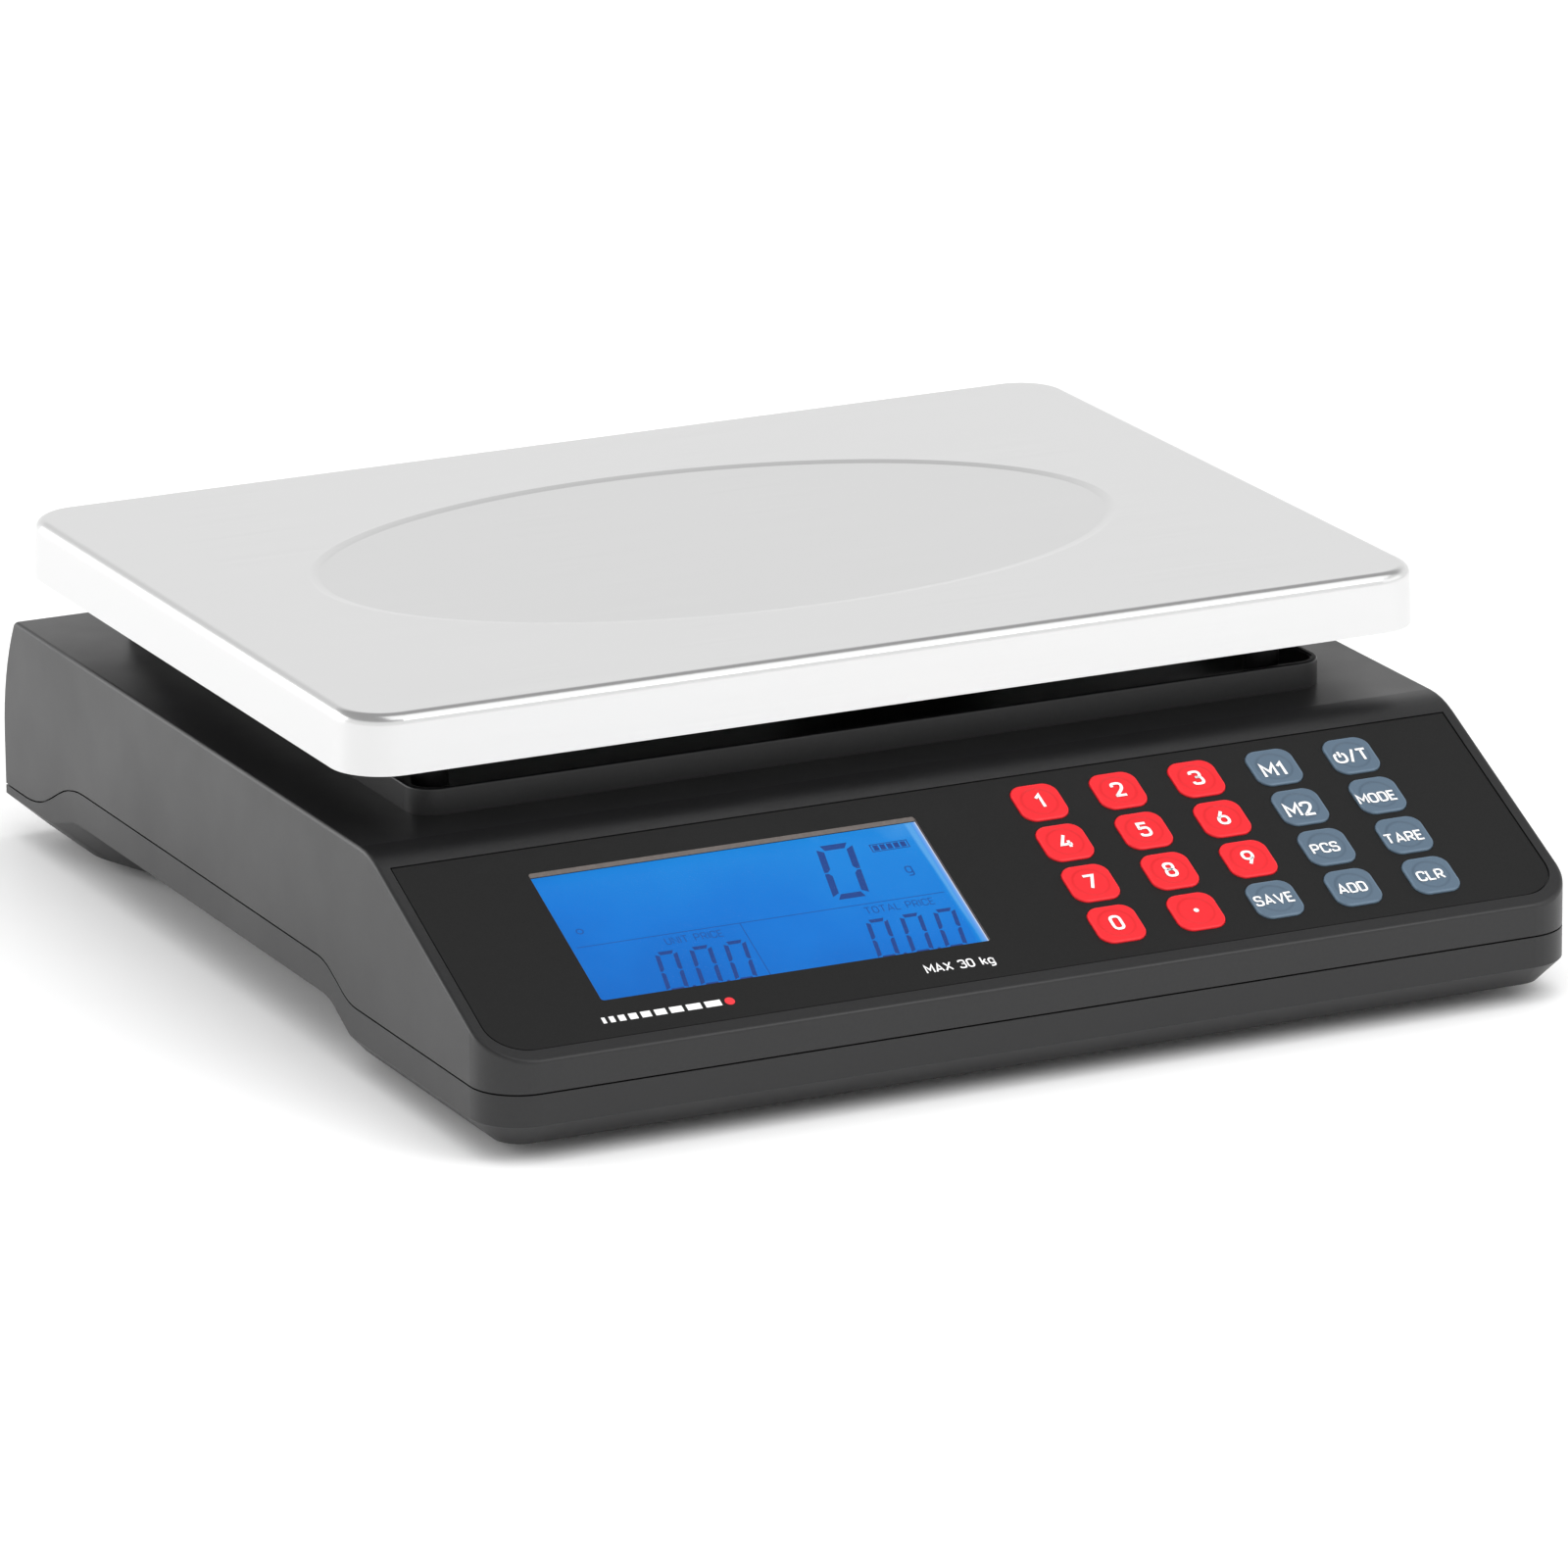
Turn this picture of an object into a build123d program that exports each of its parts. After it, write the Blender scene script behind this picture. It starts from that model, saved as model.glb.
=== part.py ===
from build123d import *

import os
from math import asin, atan2, cos, degrees, radians, sin, sqrt, tan

# Retail price scale: a 30 kg counter scale with a lift-off steel pan, a sloping key panel and two displays.
# Frame: millimetres, +Z up, +X to the right of someone facing the key panel, -Y towards them.
# The origin is on the counter under the middle of the case.

# ---------------------------------------------------------------- driving dimensions
# Case
CASE_W, CASE_D = 321.0, 334.0
CASE_BOTTOM, CASE_TOP = 4.0, 65.0
HALF_W, FRONT_Y, REAR_Y = CASE_W / 2, -CASE_D / 2, CASE_D / 2
WALL, PANEL_WALL = 2.5, 4.0
FRONT_CORNER, REAR_CORNER = 14.0, 3.5
BAND_TOP = 28.2  # height of the front band under the key panel
SLOPE_RUN = 77.2  # depth of the sloping panel, measured level
SLOPE_TOP_Y = FRONT_Y + SLOPE_RUN
SLOPE_ANGLE = degrees(atan2(CASE_TOP - BAND_TOP, SLOPE_RUN))
SLOPE_LENGTH = SLOPE_RUN / cos(radians(SLOPE_ANGLE))
SLOPE_CREST = 28.0  # radius where the slope meets the level top
REAR_ARC, REAR_ARC_Z = 66.0, 30.0  # the back wall leans forward above this height
BOTTOM_CHAMFER = 6.6
EDGE_ROUND = 1.2

# Joint between the upper housing and the base, and the lifted skirt at each side
SEAM_FRONT_Z, SEAM_SIDE_Z, SEAM_REAR_Z = 19.1, 26.9, 14.8
SEAM_GAP, TONGUE_H, TONGUE_INSET = 0.45, 3.0, 1.35
SKIRT_FRONT_Z, SKIRT_SIDE_Z, SKIRT_REAR_Z = 9.6, 17.5, 12.4
GRIP_FRONT_Y, GRIP_REAR_Y = (-77.0, -62.0), (116.0, 133.0)
GRIP_DEPTH, GRIP_TAPER = 22.0, 25.0

# Pan and its support
PAN_W, PAN_D, PAN_Y = 321.6, 234.0, 35.0
PAN_TOP, PAN_SKIRT_H, SHEET = 98.7, 16.5, 0.8
PAN_CORNER, PAN_EDGE, PAN_DRAFT = 15.0, 3.0, 2.0
DISH_X, DISH_Y, DISH_DEPTH, DISH_RIM = 118.5, 73.0, 0.4, 3.0
SUPPORT_W, SUPPORT_D, SUPPORT_TOP, SUPPORT_BOTTOM = 314.0, 227.0, 93.0, 84.0
WINDOW_SPOTS, WINDOW_Y, WINDOW_W, WINDOW_D = (-84.5, -40.0, 4.0, 95.0), 51.0, 28.0, 30.0
PLATE_T, RIB_T = 3.0, 2.5
PAD_X, PAD_Y, PAD_R = 140.0, 97.0, 8.0
STOP_X, STOP_Y, STOP_GAP = 125.0, 85.0, 0.6
LIP_W, LIP_D, LIP_H, LIP_T, LIP_CORNER = 273.0, 205.0, 7.4, 2.0, 8.0
HUB_X, HUB_SIZE, HUB_WALL, HUB_FLOOR = 50.0, 44.0, 4.0, 5.0

# Load cell
CELL_L, CELL_W, CELL_H, CELL_Z = 130.0, 30.0, 22.0, 17.0
CELL_PLATE_Z, CELL_PLATE_T, SPACER_T = 10.0, 4.0, 4.0
CELL_BOLT_X = (-58.0, -42.0)
BOLT_R = 3.0

# Key panel, measured down the slope from its upper edge and in from its surface
OVERLAY_X, OVERLAY_TOP, OVERLAY_BOTTOM = 157.0, 6.7, 81.2
OVERLAY_SUNK, OVERLAY_T, OVERLAY_GAP = 0.15, 0.5, 0.35
KEY_COLUMNS, KEY_ROWS = (28.0, 23.7), (18.5, 16.6)  # first centre and pitch
KEY_SIZE, KEY_CORNER, KEY_PROUD, KEY_GAP = 14.0, 4.0, 0.55, 0.15
KEY_FLANGE, KEY_FLANGE_T, KEY_BASE_DEPTH, KEY_TRAVEL = 15.4, 0.4, 1.2, 0.4
DOME_R, DOME_H, CIRCUIT_T = 5.0, 0.45, 0.35
KEYPAD_DEPTH = KEY_BASE_DEPTH + DOME_H + CIRCUIT_T
LCD_X, LCD_V, LCD_W, LCD_H = -65.0, 41.7, 113.0, 50.6
WINDOW_T, WINDOW_BORDER = 0.8, 3.0
GLASS_DEPTH, GLASS_T, LIGHT_T, BOARD_T = 2.3, 2.8, 4.0, 1.6
DISPLAY_BOARD_W, DISPLAY_BOARD_H = 135.0, 63.0

# Customer display in the back wall
REAR_LCD_Z, REAR_LCD_W, REAR_LCD_H = 39.0, 92.0, 25.0
REAR_SEAT_Y, REAR_BOSS_Y = 162.0, 158.0

# Feet, fasteners, battery, boards, socket
FOOT_X, FOOT_Y, FOOT_WELL_R, FOOT_WELL_TOP = 128.0, 130.0, 15.5, 12.0
FOOT_PAD_R, FOOT_PAD_H, FOOT_WHEEL_R, FOOT_WHEEL_H = 13.0, 5.0, 12.0, 4.0
STUD_R, STUD_TOP, STUD_BOSS_R, STUD_BOSS_TOP, RUNNING_FIT = 4.0, 26.0, 8.0, 27.0, 0.06
SCREW_SPOTS = [(146.0, -100.0), (122.0, 20.0), (144.0, 150.0)]
SCREW_R, SCREW_HEAD_R, SCREW_HEAD_H, SCREW_SEAT, SCREW_TOP, BOSS_MEET = 1.75, 3.6, 2.8, 12.0, 42.0, 30.0
BATTERY_L, BATTERY_W, BATTERY_H, BATTERY_X, BATTERY_Y = 100.0, 47.0, 47.0, -46.0, 116.0
LID_L, LID_W, LID_GAP = 110.0, 57.0, 0.4
MAIN_X, MAIN_Y, MAIN_W, MAIN_D, MAIN_Z = 66.0, 97.0, 92.0, 66.0, 16.0
JACK_X, JACK_Z, JACK_R, JACK_FLANGE_R = 110.0, 27.0, 5.5, 7.0
LEVEL_R, LEVEL_H = 9.0, 6.0

# ---------------------------------------------------------------- places worked out from them
FLOOR = CASE_BOTTOM + WALL
CEILING = CASE_TOP - WALL
PANEL = Plane(
    origin=(0, SLOPE_TOP_Y, CASE_TOP),
    x_dir=(1, 0, 0),
    z_dir=(0, -sin(radians(SLOPE_ANGLE)), cos(radians(SLOPE_ANGLE))),
)
BACK = Plane(origin=(0, 0, 0), x_dir=(-1, 0, 0), z_dir=(0, 1, 0))  # local x is -X, local y is Z
KEY_NAMES = [
    ["key_1", "key_2", "key_3", "key_m1", "key_power"],
    ["key_4", "key_5", "key_6", "key_m2", "key_mode"],
    ["key_7", "key_8", "key_9", "key_pieces", "key_tare"],
    ["key_0", "key_point", "key_save", "key_add", "key_clear"],
]
FEET = {
    "front_left": (-FOOT_X, -FOOT_Y),
    "front_right": (FOOT_X, -FOOT_Y),
    "rear_left": (-FOOT_X, FOOT_Y),
    "rear_right": (FOOT_X, FOOT_Y),
}
SCREW_PLACES = [(side * x, y) for x, y in SCREW_SPOTS for side in (-1, 1)]
STOP_PLACES = [(x, PAN_Y + y) for x in (-STOP_X, STOP_X) for y in (-STOP_Y, STOP_Y)]
PLATE_SCREWS = [(x, PAN_Y + y) for x in (-68.0, 68.0) for y in (-20.0, 20.0)]
PLATE_TOP = CELL_PLATE_Z + CELL_PLATE_T
CELL_TOP = CELL_Z + CELL_H
HUB_BOTTOM = CELL_TOP + SPACER_T
MAIN_POSTS = [
    (MAIN_X + x * (MAIN_W / 2 - 5), MAIN_Y + y * (MAIN_D / 2 - 5)) for x in (-1, 1) for y in (-1, 1)
]
DISPLAY_POSTS = [
    (LCD_X + x * (DISPLAY_BOARD_W / 2 - 3.2), -LCD_V + y * (DISPLAY_BOARD_H / 2 - 3.2))
    for x in (-1, 1)
    for y in (-1, 1)
]
BOARD_DEPTH = GLASS_DEPTH + GLASS_T + LIGHT_T + 0.2  # front face of the display board
REAR_GLASS_Y = REAR_SEAT_Y - 1.1  # outer face of the customer display's glass
REAR_BOARD_Y = REAR_GLASS_Y - GLASS_T - LIGHT_T - 0.2
REAR_POSTS = [(x, REAR_LCD_Z + z) for x in (-52.0, 52.0) for z in (-15.0, 15.0)]


def panel_at(depth):
    """The sloping panel's plane, moved straight in by depth. Local y runs up the slope."""
    return PANEL.offset(-depth)


def export(part, name):
    part.label = name
    export_step(part, f"parts/{name}.step")


# ---------------------------------------------------------------- the case's outline
def grip_cut(side, inset):
    """What is taken away under the lifted skirt at one side, grown by inset for the inside of the wall."""
    rise, spread = inset * 1.17, inset * 0.4
    low_drop = 0.9 * GRIP_DEPTH

    def arch(x, front_z, side_z, rear_z, shrink):
        front_low, front_high = (y + shrink - spread for y in GRIP_FRONT_Y)
        rear_high, rear_low = (y - shrink + spread for y in GRIP_REAR_Y)
        with BuildSketch(Plane.YZ.offset(x)) as section:
            with BuildLine():
                wave = FilletPolyline(
                    (FRONT_Y - 20, front_z),
                    (front_low, front_z),
                    (front_high, side_z),
                    (rear_high, side_z),
                    (rear_low, rear_z),
                    (REAR_Y + 20, rear_z),
                    radius=18,
                )
                Polyline(wave @ 1, (REAR_Y + 20, -40), (FRONT_Y - 20, -40), wave @ 0)
            make_face()
        return section.sketch

    overhang = 4.0
    slope = (SKIRT_SIDE_Z - CASE_BOTTOM) / GRIP_DEPTH
    outer = arch(
        side * (HALF_W + overhang),
        SKIRT_FRONT_Z + 0.9 * overhang + rise,
        SKIRT_SIDE_Z + slope * overhang + rise,
        SKIRT_REAR_Z + 0.9 * overhang + rise,
        -GRIP_TAPER / GRIP_DEPTH * overhang,
    )
    inner = arch(
        side * (HALF_W - GRIP_DEPTH),
        SKIRT_FRONT_Z - low_drop + rise,
        CASE_BOTTOM + rise,
        SKIRT_REAR_Z - low_drop + rise,
        GRIP_TAPER,
    )
    with BuildPart() as cut:
        loft([outer, inner], ruled=True)
    return cut.part


def envelope(inset=0.0, panel_inset=0.0):
    """A closed solid of the case's outside, moved in by inset, and by panel_inset under the sloping panel."""
    front, rear, top, bottom = FRONT_Y + inset, REAR_Y - inset, CASE_TOP - inset, CASE_BOTTOM + inset
    grade = tan(radians(SLOPE_ANGLE))
    drop = panel_inset / cos(radians(SLOPE_ANGLE))
    arc_r, arc_y = REAR_ARC - inset, REAR_Y - REAR_ARC
    lean = asin((top - REAR_ARC_Z) / arc_r)
    with BuildPart() as body:
        with BuildSketch(Plane.YZ):
            with BuildLine():
                face = Polyline(
                    (rear, REAR_ARC_Z),
                    (rear, bottom),
                    (front, bottom),
                    (front, BAND_TOP + grade * inset - drop),
                    (SLOPE_TOP_Y + (drop - inset) / grade, top),
                    (arc_y + arc_r * cos(lean), top),
                )
                ThreePointArc(
                    face @ 1,
                    (arc_y + arc_r * cos(lean / 2), REAR_ARC_Z + arc_r * sin(lean / 2)),
                    face @ 0,
                )
            outline = make_face()
            fillet(outline.vertices().filter_by_position(Axis.X, -150, 0).group_by(Axis.Y)[-1], SLOPE_CREST)
        extrude(amount=HALF_W - inset, both=True)
        with BuildSketch(Plane.XY):
            plan = Rectangle(CASE_W - 2 * inset, CASE_D - 2 * inset)
            fillet(plan.vertices().group_by(Axis.Y)[0], FRONT_CORNER - inset)
            fillet(plan.vertices().group_by(Axis.Y)[-1], REAR_CORNER - inset)
        extrude(amount=CASE_TOP + 1, mode=Mode.INTERSECT)
        chamfer(body.edges().group_by(Axis.Z)[0], BOTTOM_CHAMFER - (2 - sqrt(2)) * inset)
        for side in (-1, 1):
            add(grip_cut(side, inset), mode=Mode.SUBTRACT)
    return body.part


def above_seam(shift):
    """Everything above the wavy joint line between the two shells, with the line raised by shift."""
    far = CASE_D
    with BuildPart() as block:
        with BuildSketch(Plane.YZ):
            with BuildLine():
                wave = FilletPolyline(
                    (-far, SEAM_FRONT_Z + shift),
                    (-75.0, SEAM_FRONT_Z + shift),
                    (-59.0, SEAM_SIDE_Z + shift),
                    (118.5, SEAM_SIDE_Z + shift),
                    (142.5, SEAM_REAR_Z + shift),
                    (far, SEAM_REAR_Z + shift),
                    radius=[20, 20, 40, 40],
                )
                Polyline(wave @ 1, (far, 200), (-far, 200), wave @ 0)
            make_face()
        extrude(amount=CASE_W, both=True)
    return block.part


with BuildPart() as outside:
    add(envelope())
    crest = (
        outside.edges()
        .filter_by(lambda e: e.center().Z > BAND_TOP - 1)
        .filter_by(lambda e: e.bounding_box().max.Z < CASE_TOP + 0.1)
    )
    shoulder = crest.filter_by(lambda e: abs(e.center().X) > HALF_W - FRONT_CORNER and e.center().Y < 155)
    front_lip = crest.filter_by(lambda e: e.center().Y < FRONT_Y + 0.1 and e.length > CASE_W / 2)
    fillet(shoulder + front_lip, EDGE_ROUND)
OUTSIDE = outside.part
INSIDE = envelope(WALL, PANEL_WALL)
BOSS_LIMIT = envelope(1.5, 2.5)
TONGUE_OUTSIDE = envelope(TONGUE_INSET, PANEL_WALL)
REBATE_OUTSIDE = envelope(TONGUE_INSET - 0.1, PANEL_WALL)


# ---------------------------------------------------------------- shells
def upper_housing():
    with BuildPart() as bosses:
        for x, y in SCREW_PLACES:
            with BuildSketch(Plane.XY.offset(BOSS_MEET + 0.3)):
                with Locations((x, y)):
                    Circle(4.5)
            extrude(amount=CASE_TOP - BOSS_MEET)
        # Pad behind the customer display, and its four board posts
        with BuildSketch(BACK.offset(REAR_BOSS_Y)):
            with Locations((0, REAR_LCD_Z)):
                Rectangle(REAR_LCD_W + 26, REAR_LCD_H + 13)
        extrude(amount=REAR_Y - REAR_BOSS_Y)
        with BuildSketch(BACK.offset(REAR_BOARD_Y)):
            with Locations(*REAR_POSTS):
                Circle(3.0)
        extrude(amount=REAR_BOSS_Y - REAR_BOARD_Y + 1)
        # Boss around the charging socket
        with BuildSketch(BACK.offset(160)):
            with Locations((-JACK_X, JACK_Z)):
                Circle(11)
        extrude(amount=REAR_Y - 160)
        # Posts that carry the front display board
        with BuildSketch(panel_at(BOARD_DEPTH)):
            with Locations(*DISPLAY_POSTS):
                Circle(3.0)
        extrude(amount=BOARD_DEPTH - PANEL_WALL + 0.5)
        add(BOSS_LIMIT, mode=Mode.INTERSECT)
        add(above_seam(TONGUE_H + 0.4), mode=Mode.INTERSECT)
    with BuildPart() as housing:
        add(OUTSIDE)
        add(INSIDE, mode=Mode.SUBTRACT)
        add(above_seam(SEAM_GAP), mode=Mode.INTERSECT)
        with BuildPart(mode=Mode.PRIVATE) as rebate:
            add(REBATE_OUTSIDE)
            add(above_seam(TONGUE_H + 0.3), mode=Mode.SUBTRACT)
        add(rebate.part, mode=Mode.SUBTRACT)
        add(bosses.part)
        # Splash lip around the well under the pan
        with BuildSketch(Plane.XY.offset(CASE_TOP)):
            with Locations((0, PAN_Y)):
                RectangleRounded(LIP_W, LIP_D, LIP_CORNER)
                RectangleRounded(LIP_W - 2 * LIP_T, LIP_D - 2 * LIP_T, LIP_CORNER - LIP_T, mode=Mode.SUBTRACT)
        extrude(amount=LIP_H)
        fillet(housing.faces().filter_by(Axis.Z).sort_by(Axis.Z)[-1].edges(), 0.6)
        # Overload-stop posts in the well's corners
        with BuildSketch(Plane.XY.offset(CASE_TOP)):
            with Locations(*STOP_PLACES):
                Circle(5)
        extrude(amount=12)
        # Openings: support hub, stop screws, housing screws
        with BuildSketch(Plane.XY.offset(CEILING - 1)):
            with Locations((HUB_X, PAN_Y)):
                RectangleRounded(HUB_SIZE + 12, HUB_SIZE + 12, 7)
        extrude(amount=WALL + 2, mode=Mode.SUBTRACT)
        with BuildSketch(Plane.XY.offset(CEILING - 1)):
            with Locations(*STOP_PLACES):
                Circle(2.0)
        extrude(amount=30, mode=Mode.SUBTRACT)
        with BuildSketch(Plane.XY.offset(BOSS_MEET - 1)):
            with Locations(*SCREW_PLACES):
                Circle(SCREW_R)
        extrude(amount=SCREW_TOP - BOSS_MEET + 3, mode=Mode.SUBTRACT)
        # Recesses for the overlay, the keypad, the window and the display glass
        with BuildSketch(PANEL):
            overlay_outline()
        extrude(amount=-(OVERLAY_SUNK + OVERLAY_T), mode=Mode.SUBTRACT)
        with BuildSketch(PANEL):
            keypad_outline(0.3)
        extrude(amount=-KEYPAD_DEPTH, mode=Mode.SUBTRACT)
        with BuildSketch(PANEL):
            with Locations((LCD_X, -LCD_V)):
                Rectangle(LCD_W + 2 * WINDOW_BORDER + 0.4, LCD_H + 2 * WINDOW_BORDER + 0.4)
        extrude(amount=-(OVERLAY_SUNK + OVERLAY_T + WINDOW_T), mode=Mode.SUBTRACT)
        with BuildSketch(PANEL):
            with Locations((LCD_X, -LCD_V)):
                Rectangle(LCD_W, LCD_H)
        extrude(amount=-(PANEL_WALL + 1), mode=Mode.SUBTRACT)
        with BuildSketch(panel_at(GLASS_DEPTH - 0.05)):
            with Locations((LCD_X, -LCD_V)):
                Rectangle(LCD_W + 8.6, LCD_H + 8.6)
        extrude(amount=-(PANEL_WALL + 1), mode=Mode.SUBTRACT)
        with BuildSketch(PANEL):
            with Locations((75.4, -12.0)):
                Rectangle(17, 1.6)
        extrude(amount=-(PANEL_WALL + 1), mode=Mode.SUBTRACT)
        with BuildSketch(panel_at(BOARD_DEPTH)):
            with Locations(*DISPLAY_POSTS):
                Circle(1.1)
        extrude(amount=5.5, mode=Mode.SUBTRACT)
        # Customer display: recess, window seat and glass seat
        with BuildSketch(BACK.offset(REAR_SEAT_Y)):
            with Locations((0, REAR_LCD_Z)):
                RectangleRounded(REAR_LCD_W + 12, REAR_LCD_H + 6.4, 2)
        extrude(amount=10, mode=Mode.SUBTRACT)
        with BuildSketch(BACK.offset(REAR_BOSS_Y - 1)):
            with Locations((0, REAR_LCD_Z)):
                Rectangle(REAR_LCD_W, REAR_LCD_H)
        extrude(amount=10, mode=Mode.SUBTRACT)
        with BuildSketch(BACK.offset(REAR_BOSS_Y - 1)):
            with Locations((0, REAR_LCD_Z)):
                Rectangle(REAR_LCD_W + 6.6, REAR_LCD_H + 5.6)
        extrude(amount=REAR_GLASS_Y - REAR_BOSS_Y + 1.05, mode=Mode.SUBTRACT)
        with BuildSketch(BACK.offset(REAR_BOARD_Y)):
            with Locations(*REAR_POSTS):
                Circle(1.1)
        extrude(amount=5.5, mode=Mode.SUBTRACT)
        # Charging socket
        with BuildSketch(BACK.offset(150)):
            with Locations((-JACK_X, JACK_Z)):
                Circle(JACK_R + 0.1)
        extrude(amount=30, mode=Mode.SUBTRACT)
        with BuildSketch(BACK.offset(165)):
            with Locations((-JACK_X, JACK_Z)):
                Circle(JACK_FLANGE_R + 0.3)
        extrude(amount=10, mode=Mode.SUBTRACT)
    export(housing.part, "upper_housing")


def overlay_outline(gap=0.0):
    """The overlay's outline, drawn in the current sketch on the panel plane."""
    height = OVERLAY_BOTTOM - OVERLAY_TOP - 2 * gap
    with Locations((0, -(OVERLAY_TOP + OVERLAY_BOTTOM) / 2)):
        sheet = Rectangle(2 * (OVERLAY_X - gap), height)
        fillet(sheet.vertices().group_by(Axis.Y)[0], FRONT_CORNER - 3)
        fillet(sheet.vertices().group_by(Axis.Y)[-1], 2.5)


def keypad_outline(grow=0.0):
    """The keypad circuit's outline on the panel plane."""
    columns = KEY_COLUMNS[0] + 2 * KEY_COLUMNS[1]
    rows = KEY_ROWS[0] + 1.5 * KEY_ROWS[1]
    with Locations((columns, -rows)):
        RectangleRounded(4 * KEY_COLUMNS[1] + 22 + grow, 3 * KEY_ROWS[1] + 18.5 + grow, 3)


def base_shell():
    with BuildPart() as inner:
        for x, y in FEET.values():
            with BuildSketch(Plane.XY.offset(CASE_BOTTOM)):
                with Locations((x, y)):
                    Circle(FOOT_WELL_R + WALL)
            extrude(amount=FOOT_WELL_TOP + WALL - CASE_BOTTOM)
            with BuildSketch(Plane.XY.offset(FOOT_WELL_TOP)):
                with Locations((x, y)):
                    Circle(STUD_BOSS_R)
            extrude(amount=STUD_BOSS_TOP - FOOT_WELL_TOP)
        with BuildSketch(Plane.XY.offset(CASE_BOTTOM)):
            with Locations(*SCREW_PLACES):
                Circle(5.5)
        extrude(amount=BOSS_MEET - CASE_BOTTOM)
        with BuildSketch(Plane.XY.offset(CASE_BOTTOM)):
            with Locations(*PLATE_SCREWS):
                Circle(5.5)
        extrude(amount=CELL_PLATE_Z - CASE_BOTTOM)
        with BuildSketch(Plane.XY.offset(CASE_BOTTOM)):
            with Locations(*MAIN_POSTS):
                Circle(3.5)
        extrude(amount=MAIN_Z - CASE_BOTTOM)
        # Walls of the battery bay, and the ledge under them that the lid closes against
        with BuildSketch(Plane.XY.offset(CASE_BOTTOM)):
            with Locations((BATTERY_X, BATTERY_Y)):
                Rectangle(LID_L + 6, LID_W + 6)
        extrude(amount=6.0)
        with BuildSketch(Plane.XY.offset(CASE_BOTTOM)):
            with Locations((BATTERY_X, BATTERY_Y)):
                Rectangle(BATTERY_L + 5, BATTERY_W + 5)
        extrude(amount=22.0)
        # Floor ribs that carry the load-cell plate
        with BuildSketch(Plane.XY.offset(CASE_BOTTOM)):
            for y in (-10.0, 10.0):
                with Locations((0, PAN_Y + y)):
                    Rectangle(240, 2)
            for x in (-100.0, -30.0, 30.0, 100.0):
                with Locations((x, PAN_Y - 4)):
                    Rectangle(2, 96)
        extrude(amount=CELL_PLATE_Z - CASE_BOTTOM - 0.4)
        add(BOSS_LIMIT, mode=Mode.INTERSECT)
    with BuildPart() as tongue:
        add(TONGUE_OUTSIDE)
        add(INSIDE, mode=Mode.SUBTRACT)
        add(above_seam(TONGUE_H), mode=Mode.SUBTRACT)
        add(above_seam(-1.0), mode=Mode.INTERSECT)
    with BuildPart() as base:
        add(OUTSIDE)
        add(INSIDE, mode=Mode.SUBTRACT)
        add(above_seam(0.0), mode=Mode.SUBTRACT)
        add(tongue.part)
        add(inner.part)
        with BuildSketch(Plane.XY.offset(0)):
            with Locations(*FEET.values()):
                Circle(FOOT_WELL_R)
        extrude(amount=FOOT_WELL_TOP, mode=Mode.SUBTRACT)
        with BuildSketch(Plane.XY.offset(0)):
            with Locations(*FEET.values()):
                Circle(STUD_R + RUNNING_FIT)
        extrude(amount=STUD_BOSS_TOP + 1, mode=Mode.SUBTRACT)
        with BuildSketch(Plane.XY.offset(0)):
            with Locations(*SCREW_PLACES):
                Circle(SCREW_R + 0.4)
        extrude(amount=BOSS_MEET + 1, mode=Mode.SUBTRACT)
        with BuildSketch(Plane.XY.offset(0)):
            with Locations(*SCREW_PLACES):
                Circle(SCREW_HEAD_R + 0.6)
        extrude(amount=SCREW_SEAT, mode=Mode.SUBTRACT)
        with BuildSketch(Plane.XY.offset(FLOOR)):
            with Locations(*PLATE_SCREWS):
                Circle(SCREW_R)
        extrude(amount=CELL_PLATE_Z - FLOOR + 1, mode=Mode.SUBTRACT)
        with BuildSketch(Plane.XY.offset(MAIN_Z - 7)):
            with Locations(*MAIN_POSTS):
                Circle(1.1)
        extrude(amount=8, mode=Mode.SUBTRACT)
        with BuildSketch(Plane.XY.offset(0)):
            with Locations((BATTERY_X, BATTERY_Y)):
                RectangleRounded(LID_L + 2 * LID_GAP, LID_W + 2 * LID_GAP, 3)
        extrude(amount=CASE_BOTTOM + 2.6, mode=Mode.SUBTRACT)
        with BuildSketch(Plane.XY.offset(0)):
            with Locations((BATTERY_X, BATTERY_Y)):
                Rectangle(BATTERY_L + 1, BATTERY_W + 1)
        extrude(amount=40, mode=Mode.SUBTRACT)
        # Clear the floor ribs where the load cell's countersunk bolts and the centre stop pass
        with BuildSketch(Plane.XY.offset(FLOOR)):
            with Locations(*[(x, PAN_Y) for x in (*CELL_BOLT_X, HUB_X)]):
                Circle(8)
        extrude(amount=CELL_PLATE_Z - FLOOR, mode=Mode.SUBTRACT)
    export(base.part, "base_shell")


# ---------------------------------------------------------------- weighing platform
def dish(top):
    """The shallow oval pressed into the pan, as a solid hanging below height top."""
    with BuildPart() as oval:
        for drop in (-DISH_DEPTH / 2, DISH_DEPTH):
            shrink = DISH_RIM * drop / DISH_DEPTH
            with BuildSketch(Plane.XY.offset(top - drop)):
                with Locations((0, PAN_Y)):
                    Ellipse(DISH_X - shrink, DISH_Y - shrink)
        loft(ruled=True)
    return oval.part


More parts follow.
